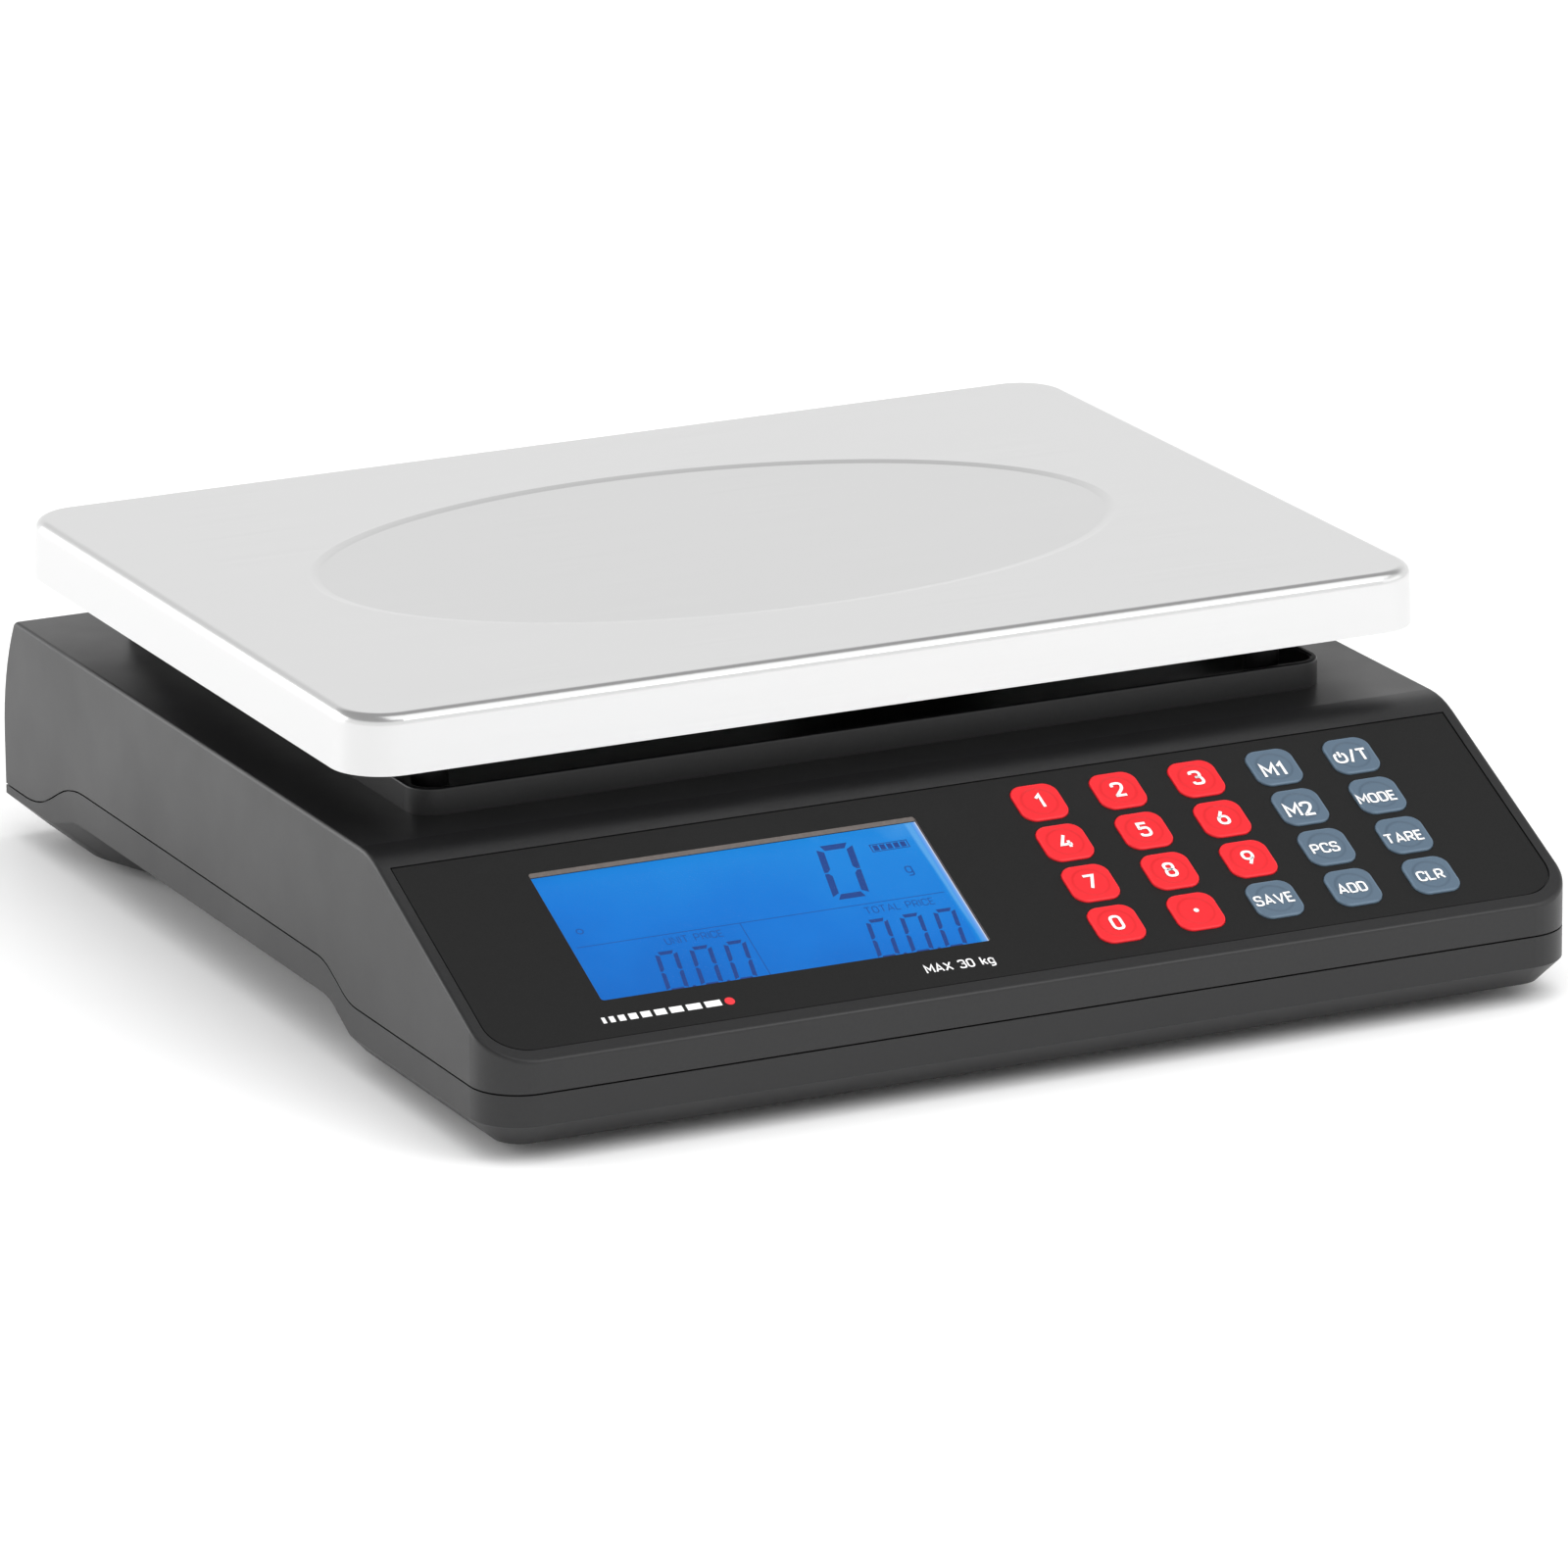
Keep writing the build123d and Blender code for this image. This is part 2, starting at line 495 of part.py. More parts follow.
def pan():
    skirt_bottom = PAN_TOP - PAN_SKIRT_H
    with BuildPart() as hollow:
        with BuildSketch(Plane.XY.offset(skirt_bottom - 1)):
            with Locations((0, PAN_Y)):
                RectangleRounded(PAN_W - 2 * SHEET, PAN_D - 2 * SHEET, PAN_CORNER - SHEET)
        extrude(amount=PAN_SKIRT_H - SHEET + 1, taper=PAN_DRAFT)
        fillet(hollow.faces().sort_by(Axis.Z)[-1].edges(), PAN_EDGE - SHEET)
        add(dish(PAN_TOP - SHEET), mode=Mode.SUBTRACT)
    with BuildPart() as tray:
        with BuildSketch(Plane.XY.offset(skirt_bottom)):
            with Locations((0, PAN_Y)):
                RectangleRounded(PAN_W, PAN_D, PAN_CORNER)
        extrude(amount=PAN_SKIRT_H, taper=PAN_DRAFT)
        fillet(tray.faces().sort_by(Axis.Z)[-1].edges(), PAN_EDGE)
        add(dish(PAN_TOP), mode=Mode.SUBTRACT)
        add(hollow.part, mode=Mode.SUBTRACT)
    export(tray.part, "pan")


def pan_support():
    web_h = SUPPORT_TOP - PLATE_T - SUPPORT_BOTTOM
    with BuildPart() as spider:
        with BuildSketch(Plane.XY.offset(SUPPORT_TOP - PLATE_T)):
            with Locations((0, PAN_Y)):
                RectangleRounded(SUPPORT_W, SUPPORT_D, PAN_CORNER - 3)
            with Locations(*[(x, PAN_Y + y) for x in WINDOW_SPOTS for y in (-WINDOW_Y, WINDOW_Y)]):
                RectangleRounded(WINDOW_W, WINDOW_D, 5, mode=Mode.SUBTRACT)
        extrude(amount=PLATE_T)
        # Rim and stiffening ribs underneath
        with BuildSketch(Plane.XY.offset(SUPPORT_BOTTOM)):
            with Locations((0, PAN_Y)):
                RectangleRounded(SUPPORT_W, SUPPORT_D, PAN_CORNER - 3)
                RectangleRounded(
                    SUPPORT_W - 2 * RIB_T, SUPPORT_D - 2 * RIB_T, PAN_CORNER - 3 - RIB_T, mode=Mode.SUBTRACT
                )
            with Locations(*[(0, PAN_Y + y) for y in (-76.0, -26.0, 26.0, 76.0)]):
                Rectangle(SUPPORT_W - RIB_T, RIB_T)
            with Locations(*[(x, PAN_Y) for x in (-109.0, -60.0, 24.0, 76.0, 114.0)]):
                Rectangle(RIB_T, SUPPORT_D - RIB_T)
            with Locations(*STOP_PLACES):
                Circle(7)
        extrude(amount=web_h)
        # Hollow hub that reaches down through the housing to the load cell
        with BuildSketch(Plane.XY.offset(HUB_BOTTOM)):
            with Locations((HUB_X, PAN_Y)):
                RectangleRounded(HUB_SIZE, HUB_SIZE, 5)
        extrude(amount=SUPPORT_TOP - HUB_BOTTOM)
        with BuildSketch(Plane.XY.offset(HUB_BOTTOM + HUB_FLOOR)):
            with Locations((HUB_X, PAN_Y)):
                RectangleRounded(HUB_SIZE - 2 * HUB_WALL, HUB_SIZE - 2 * HUB_WALL, 2)
        extrude(amount=SUPPORT_TOP - HUB_BOTTOM, mode=Mode.SUBTRACT)
        with BuildSketch(Plane.XY.offset(HUB_BOTTOM)):
            with Locations(*[(-x, PAN_Y) for x in CELL_BOLT_X]):
                Circle(BOLT_R + 0.2)
        extrude(amount=HUB_FLOOR, mode=Mode.SUBTRACT)
        # Seats for the rubber pads
        with BuildSketch(Plane.XY.offset(SUPPORT_TOP - 1)):
            with Locations(*[(x, PAN_Y + y) for x in (-PAD_X, PAD_X) for y in (-PAD_Y, PAD_Y)]):
                Circle(PAD_R + 0.1)
        extrude(amount=1, mode=Mode.SUBTRACT)
    export(spider.part, "pan_support")

    with BuildPart() as pads:
        with BuildSketch(Plane.XY.offset(SUPPORT_TOP - 1)):
            with Locations(*[(x, PAN_Y + y) for x in (-PAD_X, PAD_X) for y in (-PAD_Y, PAD_Y)]):
                Circle(PAD_R)
        extrude(amount=PAN_TOP - SHEET - SUPPORT_TOP + 1)
        chamfer(pads.faces().filter_by(Axis.Z).group_by(Axis.Z)[-1].edges(), 1.2)
    export(pads.part, "pan_pads")


def load_cell():
    with BuildPart() as cell:
        with BuildSketch(Plane.XY.offset(CELL_Z)):
            with Locations((0, PAN_Y)):
                Rectangle(CELL_L, CELL_W)
        extrude(amount=CELL_H)
        # Two bores joined by a slot make the four thin flexing webs
        with BuildSketch(Plane.XZ.offset(-PAN_Y)):
            with Locations((0, CELL_Z + CELL_H / 2)):
                SlotCenterToCenter(36, 6)
            with Locations(*[(x, CELL_Z + CELL_H / 2) for x in (-18.0, 18.0)]):
                Circle(8.6)
        extrude(amount=CELL_W, both=True, mode=Mode.SUBTRACT)
        for x, z, up in [(x, CELL_Z, 1) for x in CELL_BOLT_X] + [(-x, CELL_TOP, -1) for x in CELL_BOLT_X]:
            with BuildSketch(Plane.XY.offset(z)):
                with Locations((x, PAN_Y)):
                    Circle(BOLT_R)
            extrude(amount=up * 9, mode=Mode.SUBTRACT)
        chamfer(cell.edges().filter_by(Axis.X).filter_by(lambda e: e.length > CELL_L - 1), 0.6)
    export(cell.part, "load_cell")

    with BuildPart() as spacer:
        with BuildSketch(Plane.XY.offset(CELL_TOP)):
            with Locations((HUB_X, PAN_Y)):
                Rectangle(CELL_W - 0.5, CELL_W)
            with Locations(*[(-x, PAN_Y) for x in CELL_BOLT_X]):
                Circle(BOLT_R + 0.2, mode=Mode.SUBTRACT)
        extrude(amount=SPACER_T)
    export(spacer.part, "cell_top_spacer")

    with BuildPart() as plate:
        with BuildSketch(Plane.XY.offset(CELL_PLATE_Z)):
            with Locations((0, PAN_Y)):
                RectangleRounded(150, 54, 5)
        extrude(amount=CELL_PLATE_T)
        with BuildSketch(Plane.XY.offset(PLATE_TOP)):
            with Locations((-HUB_X, PAN_Y)):
                Rectangle(CELL_W - 0.5, CELL_W)
        extrude(amount=CELL_Z - PLATE_TOP)
        with Locations(*[Location((x, PAN_Y, CELL_PLATE_Z), (180, 0, 0)) for x in CELL_BOLT_X]):
            CounterSinkHole(BOLT_R + 0.2, 6.2, depth=12)
        with Locations(*[(x, y, PLATE_TOP) for x, y in PLATE_SCREWS]):
            Hole(SCREW_R + 0.3, depth=CELL_PLATE_T)
        with Locations((HUB_X, PAN_Y, PLATE_TOP)):
            Hole(2.5, depth=CELL_PLATE_T)
    export(plate.part, "cell_base_plate")

    with BuildPart() as top_bolts:
        seat = HUB_BOTTOM + HUB_FLOOR
        with BuildSketch(Plane.XY.offset(CELL_TOP - 8)):
            with Locations(*[(-x, PAN_Y) for x in CELL_BOLT_X]):
                Circle(BOLT_R)
        extrude(amount=seat - CELL_TOP + 8)
        with BuildSketch(Plane.XY.offset(seat)):
            with Locations(*[(-x, PAN_Y) for x in CELL_BOLT_X]):
                Circle(5)
        extrude(amount=6)
        with BuildSketch(Plane.XY.offset(seat + 3)):
            with Locations(*[(-x, PAN_Y) for x in CELL_BOLT_X]):
                RegularPolygon(2.9, 6)
        extrude(amount=4, mode=Mode.SUBTRACT)
    export(top_bolts.part, "cell_top_bolts")

    with BuildPart() as base_bolts:
        with BuildSketch(Plane.XY.offset(CELL_PLATE_Z)):
            with Locations(*[(x, PAN_Y) for x in CELL_BOLT_X]):
                Circle(BOLT_R)
        extrude(amount=CELL_Z - CELL_PLATE_Z + 8)
        for x in CELL_BOLT_X:
            with Locations((x, PAN_Y, CELL_PLATE_Z + 1.45)):
                Cone(5.9, BOLT_R, 2.9)
        with BuildSketch(Plane.XY.offset(CELL_PLATE_Z)):
            with Locations(*[(x, PAN_Y) for x in CELL_BOLT_X]):
                RegularPolygon(2.3, 6)
        extrude(amount=2.4, mode=Mode.SUBTRACT)
    export(base_bolts.part, "cell_base_bolts")


def overload_stops():
    """Set screws with lock nuts: four under the platform's corners and one under the cell's free end."""
    spots = [(x, y, CASE_TOP + 2, SUPPORT_BOTTOM - STOP_GAP, CASE_TOP + 12) for x, y in STOP_PLACES]
    spots.append((HUB_X, PAN_Y, FLOOR, CELL_Z - STOP_GAP, 0))
    with BuildPart() as stops:
        for x, y, low, high, nut in spots:
            radius = 1.95 if nut else 2.5
            with BuildSketch(Plane.XY.offset(low)):
                with Locations((x, y)):
                    Circle(radius)
            extrude(amount=high - low)
            if nut:
                with BuildSketch(Plane.XY.offset(nut)):
                    with Locations((x, y)):
                        RegularPolygon(4, 6)
                extrude(amount=3.2)
    export(stops.part, "overload_stops")


# ---------------------------------------------------------------- key panel
def overlay():
    with BuildPart() as film:
        with BuildSketch(panel_at(OVERLAY_SUNK)):
            overlay_outline(OVERLAY_GAP)
            with Locations((LCD_X, -LCD_V)):
                RectangleRounded(LCD_W, LCD_H, 1, mode=Mode.SUBTRACT)
            for row in range(4):
                for column in range(5):
                    with Locations(key_centre(row, column)):
                        RectangleRounded(
                            KEY_SIZE + 2 * KEY_GAP, KEY_SIZE + 2 * KEY_GAP, KEY_CORNER + KEY_GAP, mode=Mode.SUBTRACT
                        )
        extrude(amount=-OVERLAY_T)
    export(film.part, "overlay")


def key_centre(row, column):
    return (
        KEY_COLUMNS[0] + column * KEY_COLUMNS[1],
        -(KEY_ROWS[0] + row * KEY_ROWS[1]),
    )


def keys():
    height = KEY_BASE_DEPTH - OVERLAY_SUNK + KEY_PROUD
    for row, names in enumerate(KEY_NAMES):
        for column, name in enumerate(names):
            with BuildPart() as key:
                with BuildSketch(panel_at(KEY_BASE_DEPTH)):
                    with Locations(key_centre(row, column)):
                        RectangleRounded(KEY_SIZE, KEY_SIZE, KEY_CORNER)
                body = extrude(amount=height)
                top = body.faces().sort_by(Axis((0, 0, 0), PANEL.z_dir))[-1]
                fillet(top.edges(), 0.45)
                with BuildSketch(panel_at(KEY_BASE_DEPTH)):
                    with Locations(key_centre(row, column)):
                        RectangleRounded(KEY_FLANGE, KEY_FLANGE, KEY_CORNER + 0.7)
                extrude(amount=KEY_FLANGE_T)
            export(key.part, name)


def keypad():
    centres = [key_centre(row, column) for row in range(4) for column in range(5)]
    with BuildPart() as circuit:
        with BuildSketch(panel_at(KEYPAD_DEPTH)):
            keypad_outline()
        extrude(amount=CIRCUIT_T)
        # Tail that drops through the panel to the main board
        with BuildSketch(panel_at(KEYPAD_DEPTH)):
            with Locations((75.4, -12.0)):
                Rectangle(14, 0.4)
        extrude(amount=-16)
    export(circuit.part, "keypad_circuit")

    with BuildPart() as domes:
        with BuildSketch(panel_at(KEYPAD_DEPTH - CIRCUIT_T)):
            with Locations(*centres):
                Circle(DOME_R)
        extrude(amount=DOME_H, taper=60)
    export(domes.part, "key_domes")


def front_display():
    layers = {
        "front_window": (
            OVERLAY_SUNK + OVERLAY_T + 0.02, WINDOW_T - 0.02, LCD_W + 2 * WINDOW_BORDER, LCD_H + 2 * WINDOW_BORDER
        ),
        "front_lcd": (GLASS_DEPTH, GLASS_T, LCD_W + 8, LCD_H + 8),
        "front_backlight": (GLASS_DEPTH + GLASS_T + 0.1, LIGHT_T, LCD_W + 5, LCD_H + 5),
    }
    for name, (depth, thick, width, height) in layers.items():
        with BuildPart() as layer:
            with BuildSketch(panel_at(depth)):
                with Locations((LCD_X, -LCD_V)):
                    Rectangle(width, height)
            extrude(amount=-thick)
        export(layer.part, name)
    with BuildPart() as board:
        with BuildSketch(panel_at(BOARD_DEPTH)):
            with Locations((LCD_X, -LCD_V)):
                Rectangle(DISPLAY_BOARD_W, DISPLAY_BOARD_H)
            with Locations(*DISPLAY_POSTS):
                Circle(1.3, mode=Mode.SUBTRACT)
        extrude(amount=-BOARD_T)
    export(board.part, "front_display_board")


def rear_display():
    layers = {
        "rear_window": (REAR_SEAT_Y, 1.2, REAR_LCD_W + 11.6, REAR_LCD_H + 6.0),
        "rear_lcd": (REAR_GLASS_Y - GLASS_T, GLASS_T, REAR_LCD_W + 6, REAR_LCD_H + 5),
        "rear_backlight": (REAR_GLASS_Y - GLASS_T - LIGHT_T - 0.1, LIGHT_T, REAR_LCD_W + 4, REAR_LCD_H + 3),
    }
    for name, (y, thick, width, height) in layers.items():
        with BuildPart() as layer:
            with BuildSketch(BACK.offset(y)):
                with Locations((0, REAR_LCD_Z)):
                    if name == "rear_window":
                        RectangleRounded(width, height, 1.8)
                    else:
                        Rectangle(width, height)
            extrude(amount=thick)
        export(layer.part, name)
    with BuildPart() as board:
        with BuildSketch(BACK.offset(REAR_BOARD_Y)):
            with Locations((0, REAR_LCD_Z)):
                Rectangle(111, 37)
            with Locations(*REAR_POSTS):
                Circle(1.3, mode=Mode.SUBTRACT)
        extrude(amount=-BOARD_T)
    export(board.part, "rear_display_board")


# ---------------------------------------------------------------- power, electronics and fasteners
def battery():
    bottom = CASE_BOTTOM + 2.6
    with BuildPart() as cell:
        with BuildSketch(Plane.XY.offset(bottom)):
            with Locations((BATTERY_X, BATTERY_Y)):
                Rectangle(BATTERY_L, BATTERY_W)
        extrude(amount=BATTERY_H - 4)
        fillet(cell.edges().filter_by(Axis.Z), 1.5)
        with BuildSketch(Plane.XY.offset(bottom + BATTERY_H - 4)):
            with Locations((BATTERY_X, BATTERY_Y)):
                Rectangle(BATTERY_L - 3, BATTERY_W - 3)
        extrude(amount=4)
        # Spade terminals
        with BuildSketch(Plane.XY.offset(bottom + BATTERY_H)):
            with Locations(*[(BATTERY_X + 40, BATTERY_Y + y) for y in (-14.0, 14.0)]):
                Rectangle(4.8, 0.8)
        extrude(amount=5)
    export(cell.part, "battery")

    top, leg = bottom + BATTERY_H, BATTERY_W / 2 + 4.5
    with BuildPart() as strap:
        with BuildSketch(Plane.YZ.offset(BATTERY_X - 12)):
            with BuildLine():
                arch = FilletPolyline(
                    (BATTERY_Y - leg - 9, CASE_BOTTOM + 6.8),
                    (BATTERY_Y - leg, CASE_BOTTOM + 6.8),
                    (BATTERY_Y - leg, top + 0.8),
                    (BATTERY_Y + leg, top + 0.8),
                    (BATTERY_Y + leg, CASE_BOTTOM + 6.8),
                    (BATTERY_Y + leg + 5, CASE_BOTTOM + 6.8),
                    radius=2.5,
                )
                offset(arch, amount=0.6)
            make_face()
        extrude(amount=9, both=True)
    export(strap.part, "battery_bracket")

    with BuildPart() as lid:
        with BuildSketch(Plane.XY.offset(CASE_BOTTOM)):
            with Locations((BATTERY_X, BATTERY_Y)):
                RectangleRounded(LID_L, LID_W, 2.6)
        extrude(amount=2.5)
        # Finger pull along one end
        with BuildSketch(Plane.XY.offset(CASE_BOTTOM)):
            with Locations(*[(BATTERY_X + LID_L / 2 - 6 - 3 * i, BATTERY_Y) for i in range(5)]):
                SlotOverall(24, 1.4, rotation=90)
        extrude(amount=0.8, mode=Mode.SUBTRACT)
    export(lid.part, "battery_lid")


def electronics():
    with BuildPart() as board:
        with BuildSketch(Plane.XY.offset(MAIN_Z)):
            with Locations((MAIN_X, MAIN_Y)):
                Rectangle(MAIN_W, MAIN_D)
            with Locations(*MAIN_POSTS):
                Circle(1.3, mode=Mode.SUBTRACT)
        extrude(amount=BOARD_T)
    export(board.part, "main_board")

    chips = [(-14, 4, 18, 18, 2.4), (6, 10, 12, 9, 2.2), (18, -10, 10, 8, 2.0), (-16, -14, 9, 6, 1.8)]
    plugs = [(-38, 0, 7, 22, 8), (38, -8, 7, 26, 8), (0, 28, 30, 6, 8), (-16, -28, 16, 6, 8)]
    cans = [(32, 22, 5.0, 13), (22, 16, 4.0, 11), (-30, -24, 5.0, 8)]
    with BuildPart() as parts:
        for dx, dy, width, depth, height in chips + plugs:
            with BuildSketch(Plane.XY.offset(MAIN_Z + BOARD_T)):
                with Locations((MAIN_X + dx, MAIN_Y + dy)):
                    Rectangle(width, depth)
            extrude(amount=height)
        for dx, dy, radius, height in cans:
            with BuildSketch(Plane.XY.offset(MAIN_Z + BOARD_T)):
                with Locations((MAIN_X + dx, MAIN_Y + dy)):
                    Circle(radius)
            extrude(amount=height)
    export(parts.part, "board_parts")

    with BuildPart() as jack:
        with BuildSketch(BACK.offset(148)):
            with Locations((-JACK_X, JACK_Z)):
                Circle(JACK_R)
        extrude(amount=17.2)
        with BuildSketch(BACK.offset(165.1)):
            with Locations((-JACK_X, JACK_Z)):
                Circle(JACK_FLANGE_R)
        extrude(amount=1.6)
        with BuildSketch(BACK.offset(157)):
            with Locations((-JACK_X, JACK_Z)):
                Circle(2.85)
        extrude(amount=15, mode=Mode.SUBTRACT)
        with BuildSketch(BACK.offset(156)):
            with Locations((-JACK_X, JACK_Z)):
                Circle(1.05)
        extrude(amount=8.5)
        with BuildSketch(BACK.offset(156.4)):
            with Locations((-JACK_X, JACK_Z)):
                RegularPolygon(8.4, 6)
                Circle(3, mode=Mode.SUBTRACT)
        extrude(amount=3.4)
    export(jack.part, "dc_jack")

    with BuildPart() as level:
        with BuildSketch(Plane.XY.offset(CASE_TOP)):
            with Locations((WINDOW_SPOTS[0], PAN_Y + WINDOW_Y)):
                Circle(LEVEL_R)
        extrude(amount=LEVEL_H)
        fillet(level.faces().sort_by(Axis.Z)[-1].edges(), 0.8)
    export(level.part, "spirit_level")


def cable(radius, bend, *points):
    """A round cable along straight runs joined by bends."""
    with BuildPart() as wire:
        with BuildLine() as route:
            FilletPolyline(*points, radius=bend)
        with BuildSketch(route.line ^ 0):
            Circle(radius)
        sweep()
    return wire.part


def wiring():
    """Every cable inside the case, each from its own piece to a plug on the main board."""
    plug_z = MAIN_Z + BOARD_T + 4
    left, right = MAIN_X - 41.5, MAIN_X + 41.5
    back, front = MAIN_Y + 31.0, MAIN_Y - 31.0
    lamp_end, lamp_in = (panel_at(BOARD_DEPTH + BOARD_T + d).from_local_coords((-15, -60, 0)) for d in (0, 8))
    tail_end, tail_in = (panel_at(KEYPAD_DEPTH + 16 + d).from_local_coords((75.4, -12, 0)) for d in (0, 10))
    terminal_x, terminal_z = BATTERY_X + 42.4, CASE_BOTTOM + BATTERY_H + 5
    near, far = BATTERY_Y - 14, BATTERY_Y + 14
    rear_board = REAR_BOARD_Y - BOARD_T
    jack_end = 148.0
    with BuildPart() as loom:
        # Load cell
        cell_z, lane = CELL_Z + CELL_H / 2, MAIN_Y - 27
        add(cable(
            2.0, 6, (-CELL_L / 2, PAN_Y, cell_z), (-80, PAN_Y, cell_z), (-80, lane, cell_z), (14, lane, cell_z),
            (14, MAIN_Y + 3, plug_z), (left, MAIN_Y + 3, plug_z),
        ))
        # Battery
        add(cable(
            1.0, 4, (terminal_x, far, terminal_z), (14, far, terminal_z), (14, far, plug_z - 1),
            (30, back - 2, plug_z - 1), (MAIN_X - 15, back - 2, plug_z - 1),
        ))
        add(cable(
            1.0, 4, (terminal_x, near, terminal_z), (9, near, terminal_z), (9, back - 4.2, 34),
            (24, back - 4.2, plug_z + 1.5), (MAIN_X - 15, back - 4.2, plug_z + 1.5),
        ))
        # Charging socket
        for step in (0, 1):
            x, end = JACK_X - 2 + 4 * step, MAIN_Y - 1 - 6 * step
            add(cable(
                1.0, 3, (x, jack_end, JACK_Z), (x, jack_end - 11, JACK_Z), (114 + 3 * step, 119, plug_z + 1),
                (114 + 3 * step, end, plug_z), (right, end, plug_z),
            ))
        # Customer display, front display and keypad
        add(cable(
            1.2, 3, (30, rear_board, 30), (30, rear_board - 7, 30), (46, 138, plug_z),
            (MAIN_X - 6, 136, plug_z), (MAIN_X - 6, back, plug_z),
        ))
        add(cable(
            1.2, 5, lamp_end, lamp_in, (-15, -118, 20), (90, -60, 20), (90, PAN_Y + 12, 20),
            (MAIN_X - 16, front - 8, plug_z), (MAIN_X - 16, front, plug_z),
        ))
        add(cable(
            1.5, 5, tail_end, tail_in, (100, -60, 24), (100, 30, 24),
            (right - 3.5, front - 8, plug_z), (right - 3.5, MAIN_Y - 21, plug_z),
        ))
    export(loom.part, "wiring_loom")


def screw(x, y, seat, length, head=-1):
    """A pan-head screw on a vertical axis, seated at height seat, its head below (-1) or above (+1)."""
    with BuildPart() as one:
        with BuildSketch(Plane.XY.offset(seat)):
            with Locations((x, y)):
                Circle(SCREW_R)
        extrude(amount=-head * length)
        with BuildSketch(Plane.XY.offset(seat)):
            with Locations((x, y)):
                Circle(SCREW_HEAD_R)
        extrude(amount=head * SCREW_HEAD_H)
        with BuildSketch(Plane.XY.offset(seat + head * SCREW_HEAD_H)):
            with Locations((x, y)):
                Rectangle(4.4, 0.9)
                Rectangle(0.9, 4.4)
        extrude(amount=-head * 1.4, mode=Mode.SUBTRACT)
    return one.part


def fasteners():
    with BuildPart() as case_screws:
        for x, y in SCREW_PLACES:
            add(screw(x, y, SCREW_SEAT, SCREW_TOP - SCREW_SEAT))
    export(case_screws.part, "housing_screws")

    display_back = panel_at(BOARD_DEPTH + BOARD_T).origin
    small = [
        (Plane.XY.offset(MAIN_Z + BOARD_T), MAIN_POSTS),
        (Plane(display_back, x_dir=(-1, 0, 0), z_dir=-PANEL.z_dir), [(-x, y) for x, y in DISPLAY_POSTS]),
        (Plane((0, REAR_BOARD_Y - BOARD_T, 0), x_dir=(1, 0, 0), z_dir=(0, -1, 0)), REAR_POSTS),
    ]
    with BuildPart() as board_screws:
        for x, y in PLATE_SCREWS:
            add(screw(x, y, PLATE_TOP, PLATE_TOP - FLOOR - 0.5, head=1))
        for plane, places in small:
            with BuildSketch(plane):
                with Locations(*places):
                    Circle(2.1)
            extrude(amount=1.6)
            with BuildSketch(plane):
                with Locations(*places):
                    Circle(1.1)
            extrude(amount=-6)
    export(board_screws.part, "board_screws")


def feet():
    nub_r, nub_h = 5.0, 1.6
    for name, (x, y) in FEET.items():
        with BuildPart() as pad:
            with BuildSketch(Plane.XY):
                with Locations((x, y)):
                    Circle(FOOT_PAD_R)
            extrude(amount=FOOT_PAD_H)
            fillet(pad.faces().sort_by(Axis.Z)[-1].edges(), 1.5)
            chamfer(pad.faces().sort_by(Axis.Z)[0].edges(), 0.8)
            with BuildSketch(Plane.XY.offset(FOOT_PAD_H - nub_h)):
                with Locations((x, y)):
                    Circle(nub_r + RUNNING_FIT)
            extrude(amount=nub_h, mode=Mode.SUBTRACT)
        export(pad.part, f"foot_pad_{name}")

        wheel = FOOT_PAD_H + 0.2
        with BuildPart() as stud:
            with BuildSketch(Plane.XY.offset(wheel)):
                with Locations((x, y)):
                    Circle(FOOT_WHEEL_R)
                    with PolarLocations(FOOT_WHEEL_R, 18):
                        Circle(1.0, mode=Mode.SUBTRACT)
            extrude(amount=FOOT_WHEEL_H)
            with BuildSketch(Plane.XY.offset(FOOT_PAD_H - nub_h + 0.1)):
                with Locations((x, y)):
                    Circle(nub_r)
            extrude(amount=nub_h + 0.2)
            with BuildSketch(Plane.XY.offset(wheel + FOOT_WHEEL_H)):
                with Locations((x, y)):
                    Circle(STUD_R)
            extrude(amount=STUD_TOP - wheel - FOOT_WHEEL_H)
        export(stud.part, f"foot_screw_{name}")


os.makedirs("parts", exist_ok=True)
upper_housing()
base_shell()
pan()
pan_support()
load_cell()
overload_stops()
overlay()
keys()
keypad()
front_display()
rear_display()
battery()
electronics()
wiring()
fasteners()
feet()
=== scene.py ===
"""Looks of the price scale: materials, printed legends, display contents, floor, light and camera."""

import math

import bpy
import bmesh
from mathutils import Matrix, Vector


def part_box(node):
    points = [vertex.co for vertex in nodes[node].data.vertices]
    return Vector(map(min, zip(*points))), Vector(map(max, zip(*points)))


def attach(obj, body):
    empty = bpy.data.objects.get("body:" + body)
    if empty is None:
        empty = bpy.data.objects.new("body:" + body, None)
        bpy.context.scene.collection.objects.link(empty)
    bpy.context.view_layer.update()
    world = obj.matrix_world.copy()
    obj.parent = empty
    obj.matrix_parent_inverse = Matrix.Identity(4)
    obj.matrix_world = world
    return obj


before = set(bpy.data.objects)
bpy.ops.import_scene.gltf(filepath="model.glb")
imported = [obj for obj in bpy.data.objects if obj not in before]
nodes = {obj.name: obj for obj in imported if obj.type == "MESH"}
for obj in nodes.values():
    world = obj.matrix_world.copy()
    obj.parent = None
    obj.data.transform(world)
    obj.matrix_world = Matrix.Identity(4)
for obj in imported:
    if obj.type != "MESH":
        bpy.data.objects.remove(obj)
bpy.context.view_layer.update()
MM = 0.001

